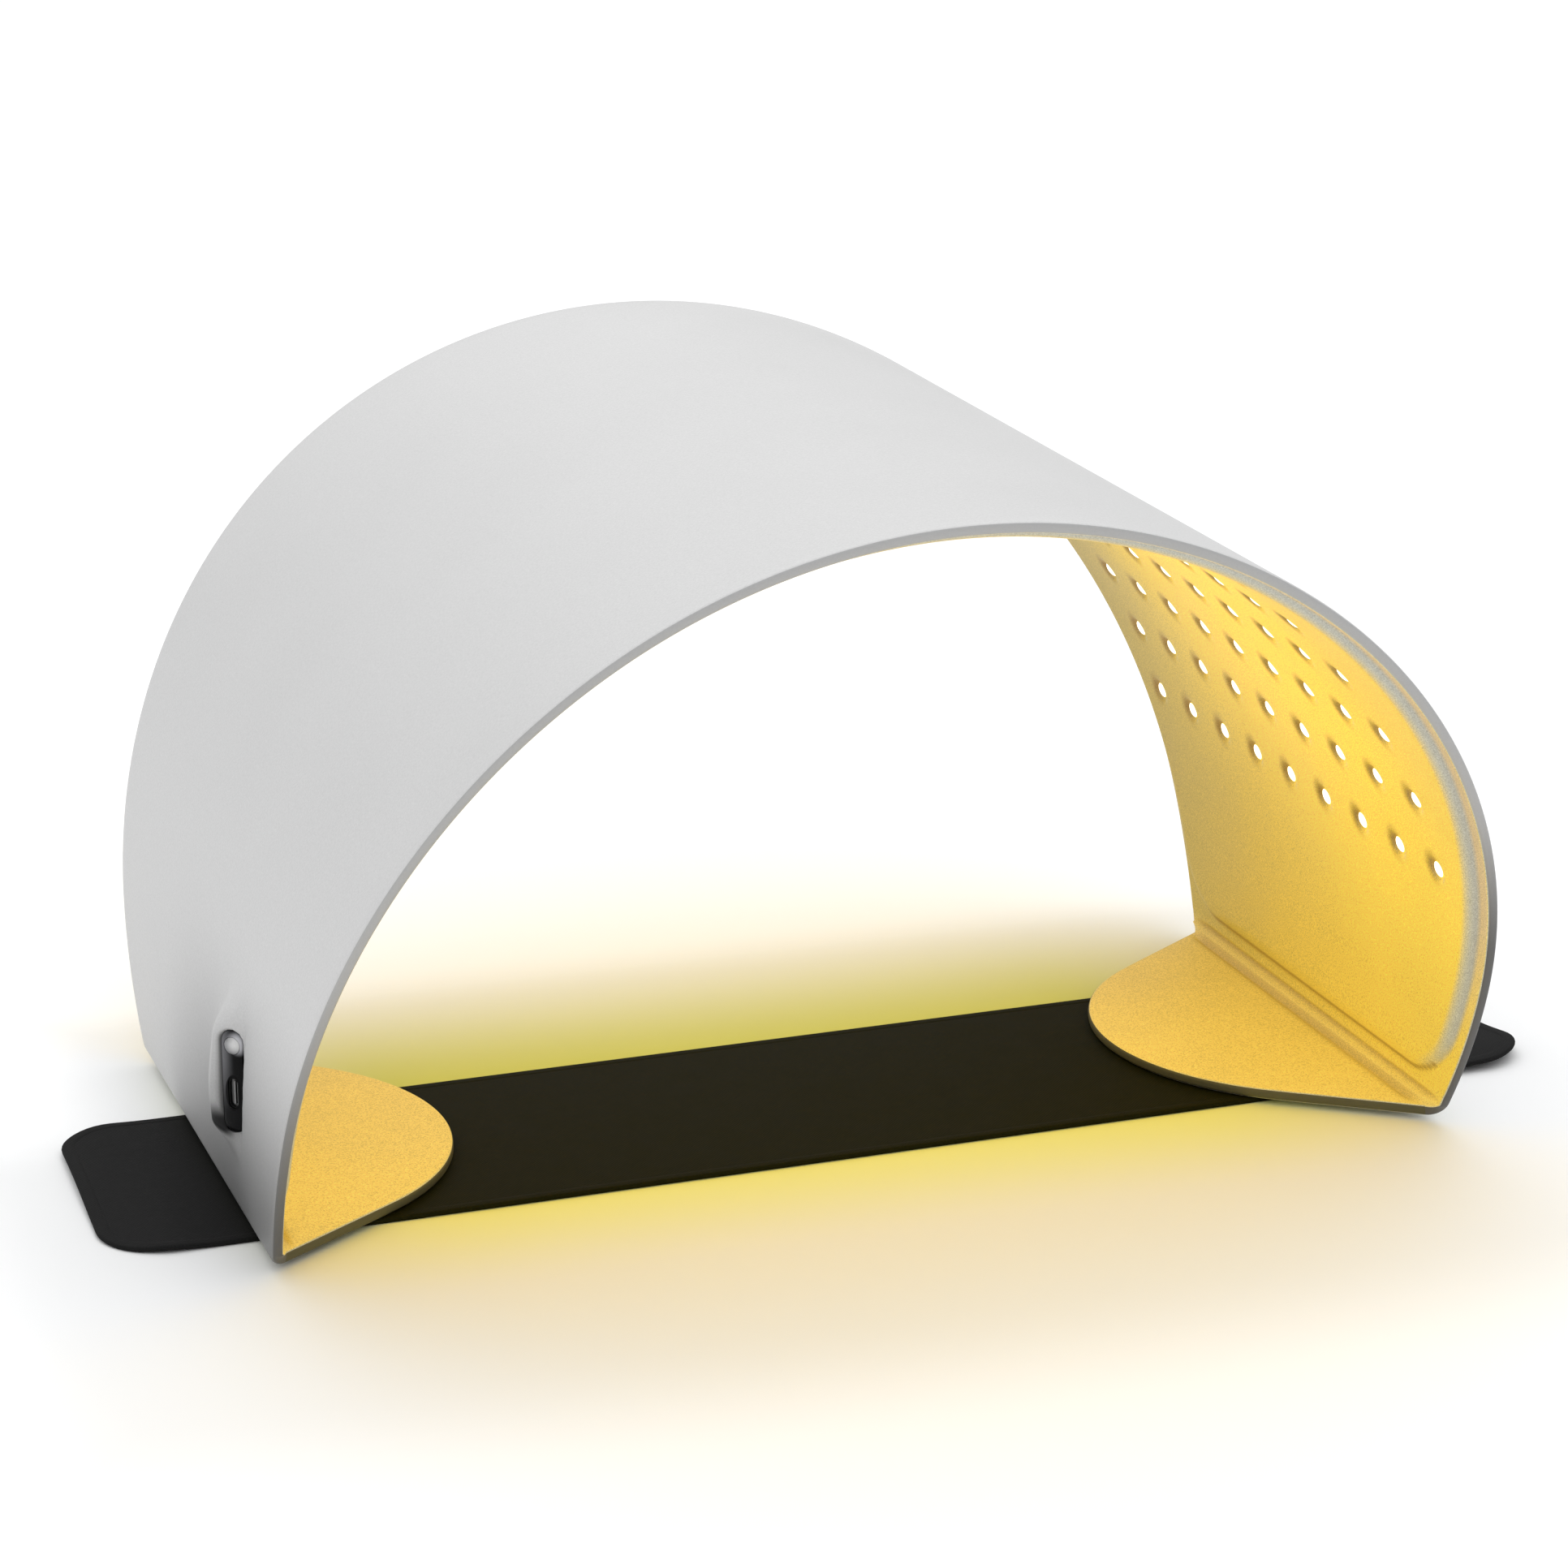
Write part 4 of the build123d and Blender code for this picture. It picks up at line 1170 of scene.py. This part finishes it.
def lit_silicone(settings, groups):
    """The inner silicone, painted amber and glowing where it faces the LEDs, and grey where it faces out."""
    finishes = settings.finishes
    sheet = Finish("lit_silicone", groups["grain"])
    normal = sheet.result("ShaderNodeNewGeometry", "Normal")
    outward = Field(sheet, sheet.add("ShaderNodeSeparateXYZ", {0: normal}).outputs["Y"])
    turned = abs(outward).step(*TURNED_AWAY)
    greyed, crease = sheet.attribute("grey"), sheet.attribute("shade")
    _, y, z = sheet.axes()
    deep = y.step(*DEEP_RUN)
    high = z.step(*HIGH_RISE) * y.step(*HIGH_RUN)
    band = z.step(*BAND_FOOT) * z.step(*BAND_TOP) * y.step(*BAND_RUN)

    # Painted light and shade: amber tints, darker to the back, pale at the margin, grey on the outward slope
    wall = deep.blend(rgba(finishes.back_silicone), rgba(finishes.dim_silicone))
    low = z.step(*FLAP_HEIGHTS).blend(wall, rgba(finishes.flap_silicone))
    fore = y.step(*FRONT_RUN).blend(rgba(finishes.lit_silicone), rgba(finishes.front_silicone))
    margin = greyed.blend(high.blend(low, fore), rgba(finishes.pale))
    sloped = turned.blend(rgba(finishes.slope), margin)
    tint = (crease * CREASE_TINT).blend(sloped, rgba(finishes.crease))

    # Painted light: the silicone glows in the amber, dimmed in creases and where it faces out
    even = deep.blend(rgba(finishes.amber, BACK_LIGHT), rgba(finishes.amber, FRONT_LIGHT))
    lifted = band.blend(even, rgba(finishes.amber, BAND_LIGHT))
    among = band.blend(rgba(finishes.pale_amber, HIGH_LIGHT), rgba(finishes.pale_amber, BRIGHTEST_LIGHT))
    facing = turned * (1.0 - greyed) * (1.0 - crease * CREASE_LOSS)
    light = facing.blend(rgba(finishes.amber, TURNED_LIGHT), high.blend(lifted, among))
    return sheet.moulded(tint, 0.55, 2600.0, 0.60, 0.00003, Emission_Strength=finishes.glow,
                         Emission_Color=sheet.scaled(light, sheet.patterned("Level")))


# Where painted shade darkens the outer side: low down, on the left, and more at the front than at the back
SHADOWED_HEIGHTS, SHADOWED_RUN = (0.085, 0.01), (0.05, -0.05)
BACK_SHARE = 0.05


def outer_silicone(settings, groups):
    """The outer silicone, with painted shade low down on the left and in the hollow round the port."""
    finishes = settings.finishes
    sheet = Finish("silicone", groups["grain"])
    x, y, z = sheet.axes()
    forward = y.step(*SHADOWED_RUN) * (1.0 - BACK_SHARE) + BACK_SHARE
    soiled = z.step(*SHADOWED_HEIGHTS) * (x.step(*SHADOWED_RUN) * forward)
    shaded_tone = soiled.blend(rgba(finishes.silicone), rgba(finishes.soiled))
    # Painted shade: black in the gap and the hollow round the port, from the shade attribute
    tint = sheet.attribute("shade").blend(shaded_tone, rgba(finishes.gloss))
    return sheet.moulded(tint, 0.52, contrast=0.10, Specular_IOR_Level=0.25)


# Painted shade on the rim: the heights on the right, how far across that starts, and the heights elsewhere
RIGHT_RIM, RIM_ACROSS, LOW_RIM = (0.12, 0.06), (0.0, 0.1), (0.11, 0.01)


def rim_silicone(settings, groups):
    """The rim's silicone with painted shade, darker near the floor, and from higher up on the right."""
    finishes = settings.finishes
    sheet = Finish("silicone_rim", groups["grain"])
    x, _, z = sheet.axes()
    far = (x.step(*RIM_ACROSS) * z.step(*RIGHT_RIM)).at_least(z.step(*LOW_RIM))
    return sheet.moulded(far.blend(rgba(finishes.rim), rgba(finishes.shaded_rim)), 0.5)


def port_axes(sheet, place):
    """Where a surface lies in the port's frame: towards its front edge, and up."""
    x, y, z = sheet.axes()
    across = (x - place.x) * math.sin(place.turn) - (y - place.y) * math.cos(place.turn)
    return across, z - place.z


def oval(first, second, centre, reach):
    """How far a place lies from the middle of an oval: 1 on its outline."""
    first = (first - centre[0]) / reach[0]
    second = (second - centre[1]) / reach[1]
    return (first * first + second * second).root()


# How many times paler than the gloss its painted reflections are: the streak, the sheen and the button's edge
REFLECTED_STREAK, SHEEN, BUTTON_EDGE = 34.0, 110.0, 30.0
# How high the capsule's face is rounded, as a share of half its width
PILLOW_RISE = 0.30


def pillow_gloss(settings, groups, place):
    """Glossy black plastic whose face is softly rounded, with a painted sheen round the button."""
    sheet = Finish("gloss_black", groups["grain"])
    gloss = settings.finishes.gloss
    half = place.half_width
    across, up = port_axes(sheet, place)
    over = (abs(up) - place.straight).at_least(0.0)
    from_axis = oval(across, over, (0.0, 0.0), (half * 1.04, half * 1.04))
    height = (1.0 - from_axis * from_axis).root() * (half * PILLOW_RISE)
    # Painted reflection: a pale streak along the back edge, stronger higher up
    reflected_streak = across.step(half * 0.2, -half) * up.step(-place.half_length * 0.7, place.half_length * 0.6)
    button_up = place.span("button_cap")[0]
    near = oval(across, up, (half * 0.5, button_up + half * 0.25), (half * 1.15, half * 1.15))
    streaked = reflected_streak.blend(rgba(gloss), rgba(gloss, REFLECTED_STREAK))
    sheen = near.step(1.0, 0.3).blend(streaked, rgba(gloss, SHEEN))
    socket_up, socket_half = place.span("usb_c_shell")
    socket = oval(across, up, (0.0, socket_up), (half * 0.72, socket_half * 1.2))
    tint = socket.step(1.05, 0.95).blend(sheen, rgba(gloss, 0.2))
    return sheet.moulded(tint, 0.22, Specular_IOR_Level=0.07, Normal=sheet.bump(height, 1.0))


def button_gloss(settings, groups, place):
    """The button's pale face with a painted highlight, off its middle and fading to black at its edge."""
    sheet = Finish("button_gloss", groups["grain"])
    across, up = port_axes(sheet, place)
    middle, reach = place.span("button_cap")
    shine = oval(across, up, (reach * 0.5, middle + reach * 0.3), (reach * 1.8, reach * 1.8)).step(0.78, 0.05)
    tint = shine.blend(rgba(settings.finishes.gloss, BUTTON_EDGE), rgba(settings.finishes.pale_glint, 1.15))
    return sheet.moulded(tint, 0.25, bump=0.00001, Coat_Weight=0.5, Coat_Roughness=0.1)


def socket_tongue(settings, groups, place):
    """The socket's tongue: a pale contact face with dark sides."""
    sheet = Finish("socket_tongue", groups["grain"])
    across, _ = port_axes(sheet, place)
    half = place.half_width * 0.085
    face = abs(across + half * 0.2).step(half * 1.2, half * 0.6)
    tint = face.blend(rgba(settings.finishes.gloss, 0.5), rgba(settings.finishes.pale_glint, 0.38))
    return sheet.moulded(tint, 0.5, bump=0.00001, Specular_IOR_Level=0.1)


# The pitch of the threads, how much the weave varies the cloth's colour, and where the arch lights it
THREAD_PITCH = 0.0011
WEAVE_SHARES = (0.75, 1.35)
UNDER_ARCH = (0.19, 0.15)


def cloth_material(name, settings, groups):
    """Charcoal cloth in a fine plain weave, olive in the amber light under the arch."""
    finishes = settings.finishes
    sheet = Finish(name, groups["weave"])
    sheet.feed(sheet.pattern, {"Thread Scale": 2 * HALF_TURN / THREAD_PITCH})
    weave = sheet.patterned("Shade")
    plain, lit = (weave.blend(*(rgba(tint, share) for share in WEAVE_SHARES))
                  for tint in (finishes.strap, finishes.lit_strap))
    under = abs(sheet.axes()[0]).step(*UNDER_ARCH)
    return sheet.shade(Base_Color=under.blend(plain, lit), Roughness=weave * 0.2 + 0.62,
                       Normal=sheet.bump(sheet.patterned("Height"), 0.00008, 0.6), Specular_IOR_Level=0.08)


def window_material(name, tint, strength, groups):
    """A part of a window with its LED lit behind it."""
    sheet = Finish(name, groups["grain"])
    return sheet.moulded(rgba(tint), 0.2, bump=0.00001, Emission_Strength=strength, IOR=1.41,
                         Emission_Color=sheet.patterned("Color"))


# Where the amber pool on the floor fades: across, to the front and to the back
POOL_SIDES, POOL_FRONT, POOL_BACK = (0.20, 0.11), (-0.12, -0.05), (0.135, 0.035)
# Where the floor turns from the front pool's colour to the back one's, under the band
POOL_CHANGE = (-0.005, 0.005)
# Where the floor is lifted towards white: far to the back, the front and the sides, and beside the walls
FAR_BACK, FAR_FRONT, FAR_SIDES = (0.11, 0.15), (-0.17, -0.25), (0.23, 0.29)
# Beside the walls the floor's glow is painted light that lifts the shade there
BESIDE_ACROSS, BESIDE_BACK = (0.185, 0.22), (0.0, 0.05)


def floor_material(settings):
    """A pale floor, tinted where the amber light falls on it and lifted to white away from it."""
    finishes = settings.finishes
    sheet = Finish("pale_floor")
    x, y, _ = sheet.axes()
    across = abs(x).step(*POOL_SIDES)
    behind = (across * y.step(*POOL_BACK)).blend(rgba(finishes.floor), rgba(finishes.back_pool))
    ahead = (across * y.step(*POOL_FRONT)).blend(rgba(finishes.floor), rgba(finishes.pool))
    far = abs(x).step(*FAR_SIDES).at_least(y.step(*FAR_BACK).at_least(y.step(*FAR_FRONT)))
    away = far.at_least(abs(x).step(*BESIDE_ACROSS) * y.step(*BESIDE_BACK))
    return sheet.shade(Base_Color=y.step(*POOL_CHANGE).blend(ahead, behind),
                       Emission_Color=away.blend(grey(0.0), grey(1.0)),
                       Emission_Strength=finishes.floor_lift, Roughness=0.6, Specular_IOR_Level=0.2)


# The plain finishes of the frame's own pieces: a name, a colour, a roughness and other values
PLAIN_FINISHES = (
    ("dark_socket", (0.008, 0.008, 0.008), 0.5, {"Specular_IOR_Level": 0.1}),
    ("black_rubber", (0.02, 0.02, 0.02), 0.7, {}),
    ("rolled_metal", (0.5, 0.5, 0.52), 0.35, {"Metallic": 1.0}),
    ("green_board", (0.03, 0.16, 0.06), 0.45, {}),
    ("flex_board", (0.45, 0.22, 0.05), 0.4, {}),
    ("led_package", (0.85, 0.78, 0.5), 0.5, {}),
    ("grey_foam", (0.12, 0.12, 0.12), 0.9, {"scale": 900.0, "contrast": 0.3, "bump": 0.0001}),
    ("hook_tape", (0.02, 0.02, 0.02), 0.8, {"scale": 1400.0, "contrast": 0.4, "bump": 0.0002}),
)
NODE_FINISHES = {
    "rolled_metal": ("shape_sheet", "battery_cell"),
    "grey_foam": ("foam_spacer", "bay_foam", "battery_wrap"),
    "flex_board": ("led_flex_board", "flex_tail", "port_tail"),
    "led_package": ("led_emitters",),
    "gloss_black": ("port_bezel",),
    "button_gloss": ("button_cap",),
    "black_rubber": ("port_seal", "button_switch", "driver_chips"),
    "dark_socket": ("usb_c_shell",),
    "socket_tongue": ("usb_c_tongue",),
    "green_board": ("driver_board", "left_flap_stiffener", "right_flap_stiffener"),
    "hook_tape": ("left_hook_patch", "right_hook_patch"),
}

shared = {}


def build_materials(settings):
    """Every material of the object, by name."""
    finishes = settings.finishes
    place = PortPlace(settings)
    groups = {"grain": grain_group(), "weave": weave_group()}
    made = {
        "silicone": outer_silicone(settings, groups),
        "silicone_rim": rim_silicone(settings, groups),
        "lit_silicone": lit_silicone(settings, groups),
        "gloss_black": pillow_gloss(settings, groups, place),
        "button_gloss": button_gloss(settings, groups, place),
        "socket_tongue": socket_tongue(settings, groups, place),
    }
    for name, tint, strength in (("lit_window", finishes.hot, finishes.window_glow),
                                 ("lit_window_edge", finishes.amber, finishes.edge_glow)):
        made[name] = window_material(name, tint, strength, groups)
    for name in ("strap_weave", "strap_bound_edge"):
        made[name] = cloth_material(name, settings, groups)
    for name, tint, roughness, values in (("shaded_flap_edge", finishes.shaded_flap_edge, 0.6, {}),) + PLAIN_FINISHES:
        made[name] = Finish(name, groups["grain"]).moulded(rgba(tint), roughness, **values)
    return made


def chosen(*names):
    return [shared["materials"][name] for name in names]


class LIGHTARCH_OT_materials(bpy.types.Operator):
    """Make the finishes and give them to the frame's own pieces"""
    bl_idname = "light_arch.materials"
    bl_label = "Finishes"

    def execute(self, context):
        settings = context.scene.light_arch
        shared["profile"] = Profile(settings.arch)
        shared["materials"] = build_materials(settings)
        for finish, nodes in NODE_FINISHES.items():
            for node in nodes:
                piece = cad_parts[node]
                piece.data.materials.clear()
                piece.data.materials.append(shared["materials"][finish])
        return {"FINISHED"}


class LIGHTARCH_OT_arch(bpy.types.Operator):
    """Make the silicone arch with its pad, dimples and port swell"""
    bl_idname = "light_arch.arch"
    bl_label = "Arch"

    def execute(self, context):
        materials = chosen("silicone", "lit_silicone", "silicone_rim")
        skin = arch_skin(context.scene.light_arch, shared["profile"], materials)
        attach(skin, "panel")
        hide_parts("outer_cover", "inner_face")
        return {"FINISHED"}


class LIGHTARCH_OT_flaps(bpy.types.Operator):
    """Make the two flaps with their folds"""
    bl_idname = "light_arch.flaps"
    bl_label = "Flaps"

    def execute(self, context):
        settings = context.scene.light_arch
        profile = shared["profile"]
        materials = chosen("silicone", "lit_silicone", "silicone_rim", "shaded_flap_edge")
        corner_x = settings.arch.width / 2 - settings.arch.sheet
        top = profile.rest + profile.sheet
        reach = settings.arch.sheet
        for side, word in ((-1, "left"), (1, "right")):
            skin = flap_skin(settings, profile, side, materials)
            start = (side * (corner_x + 0.8 * reach), 0.0, top + 1.35 * reach)
            end = (side * (corner_x - 1.6 * reach), 0.0, top - 0.9 * reach)
            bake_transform(skin)
            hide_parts(f"{word}_flap_face", f"{word}_flap_cover")
        return {"FINISHED"}


class LIGHTARCH_OT_windows(bpy.types.Operator):
    """Make the lit windows, one piece for each row"""
    bl_idname = "light_arch.windows"
    bl_label = "Lit Windows"

    def execute(self, context):
        settings = context.scene.light_arch
        materials = chosen("lit_window", "lit_window_edge")
        for row in range(settings.leds.rows):
            domes = window_row(settings, shared["profile"], row, materials)
            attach(domes, "panel")
            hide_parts(f"led_window_row_{row + 1:02d}")
        return {"FINISHED"}


class LIGHTARCH_OT_strap(bpy.types.Operator):
    """Make the flat band and its bound edge"""
    bl_idname = "light_arch.strap"
    bl_label = "Strap"

    def execute(self, context):
        settings = context.scene.light_arch
        cloth = strap_cloth(settings, *chosen("strap_weave"))
        binding = strap_binding(settings, *chosen("strap_bound_edge"))
        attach(cloth, "strap")
        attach(binding, "strap")
        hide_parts("strap_band", "strap_loop_face")
        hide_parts("strap_binding")
        return {"FINISHED"}


def area_light(name, place, target, size, energy, tint=(1.0, 1.0, 1.0), seen=True):
    """A soft square light that looks at a target."""
    light = bpy.data.lights.new(name, "AREA")
    light.size = size
    light.energy = energy
    light.color = tint
    made = bpy.data.objects.new(name, light)
    made.location = place
    made.rotation_euler = (Vector(target) - Vector(place)).to_track_quat("-Z", "Y").to_euler()
    made.visible_camera = False
    made.visible_glossy = seen
    bpy.context.scene.collection.objects.link(made)


def studio(settings):
    """The light all round, the soft light overhead and the amber light under the arch."""
    world = bpy.data.worlds.new("soft_studio")
    world.use_nodes = True
    sheet = NodeSheet(world.node_tree)
    sky = sheet.axes("Generated")[2].step(-0.1, 0.9).blend(rgba(settings.stage.horizon), grey(1.0))
    background = world.node_tree.nodes["Background"]
    sheet.feed(background, {"Color": sky, "Strength": settings.stage.sky_strength})
    bpy.context.scene.world = world
    amber = settings.finishes.amber
    crown = (0.0, 0.0, shared["profile"].top - 0.05)
    area_light("overhead", (0.3, 0.9, 1.8), (0.1, 0.4, 0.0), 2.2, settings.stage.overhead_power)
    area_light("amber_crown", crown, (0.0, 0.0, 0.0), 0.13, settings.stage.crown_power, amber, seen=False)
    for side in (-1, 1):
        place, target = (side * 0.13, 0.0, 0.10), (-side * 0.17, 0.0, 0.06)
        area_light(f"amber_wall_{side}", place, target, 0.10, settings.stage.wall_power, amber, seen=False)


def place_camera(stage):
    """The camera that sees the object as the photograph does."""
    data = bpy.data.cameras.new("camera")
    data.sensor_width = 36.0
    data.lens = stage.lens
    data.clip_start, data.clip_end = 0.05, 100.0
    camera = bpy.data.objects.new("camera", data)
    turn, level = stage.azimuth, math.cos(stage.elevation)
    back = Vector((math.sin(turn) * level, -math.cos(turn) * level, math.sin(stage.elevation)))
    camera.location = Vector((stage.target_x, 0.0, stage.target_z)) + back * stage.distance
    camera.rotation_euler = (-back).to_track_quat("-Z", "Y").to_euler()
    bpy.context.scene.collection.objects.link(camera)
    bpy.context.scene.camera = camera


class LIGHTARCH_OT_stage(bpy.types.Operator):
    """Set up the floor, the lights, the world and the camera"""
    bl_idname = "light_arch.stage"
    bl_label = "Stage"

    def execute(self, context):
        settings = context.scene.light_arch
        half = settings.stage.floor_size / 2
        corners = [(-half, -half, 0), (half, -half, 0), (half, half, 0), (-half, half, 0)]
        mesh = bpy.data.meshes.new("floor")
        mesh.from_pydata(corners, [], [(0, 1, 2, 3)])
        mesh.materials.append(floor_material(settings))
        floor = bpy.data.objects.new("floor", mesh)
        context.scene.collection.objects.link(floor)
        studio(settings)
        place_camera(settings.stage)
        context.scene.view_settings.view_transform = "Standard"
        return {"FINISHED"}


class LIGHTARCH_PT_panel(bpy.types.Panel):
    """Lists the steps that build the light arch"""
    bl_idname = "LIGHTARCH_PT_panel"
    bl_label = "Light Arch"
    bl_space_type = "VIEW_3D"
    bl_region_type = "UI"
    bl_category = "Light Arch"

    def draw(self, context):
        for operator in OPERATORS:
            self.layout.operator(operator.bl_idname)


GROUPS = (ArchSizes, PadSizes, LedSizes, FlapSizes, PortSizes, StrapSizes, Finishes, StageSettings,
          LightArchSettings)
OPERATORS = (LIGHTARCH_OT_materials, LIGHTARCH_OT_arch, LIGHTARCH_OT_flaps, LIGHTARCH_OT_windows,
             LIGHTARCH_OT_strap, LIGHTARCH_OT_stage)


def register():
    for kind in GROUPS + OPERATORS + (LIGHTARCH_PT_panel,):
        bpy.utils.register_class(kind)
    bpy.types.Scene.light_arch = PointerProperty(type=LightArchSettings)


def unregister():
    del bpy.types.Scene.light_arch
    for kind in reversed(GROUPS + OPERATORS + (LIGHTARCH_PT_panel,)):
        bpy.utils.unregister_class(kind)


def main():
    register()
    bpy.ops.light_arch.materials()
    bpy.ops.light_arch.arch()
    bpy.ops.light_arch.flaps()
    bpy.ops.light_arch.windows()
    bpy.ops.light_arch.strap()
    bpy.ops.light_arch.stage()


if __name__ == "__main__":
    main()
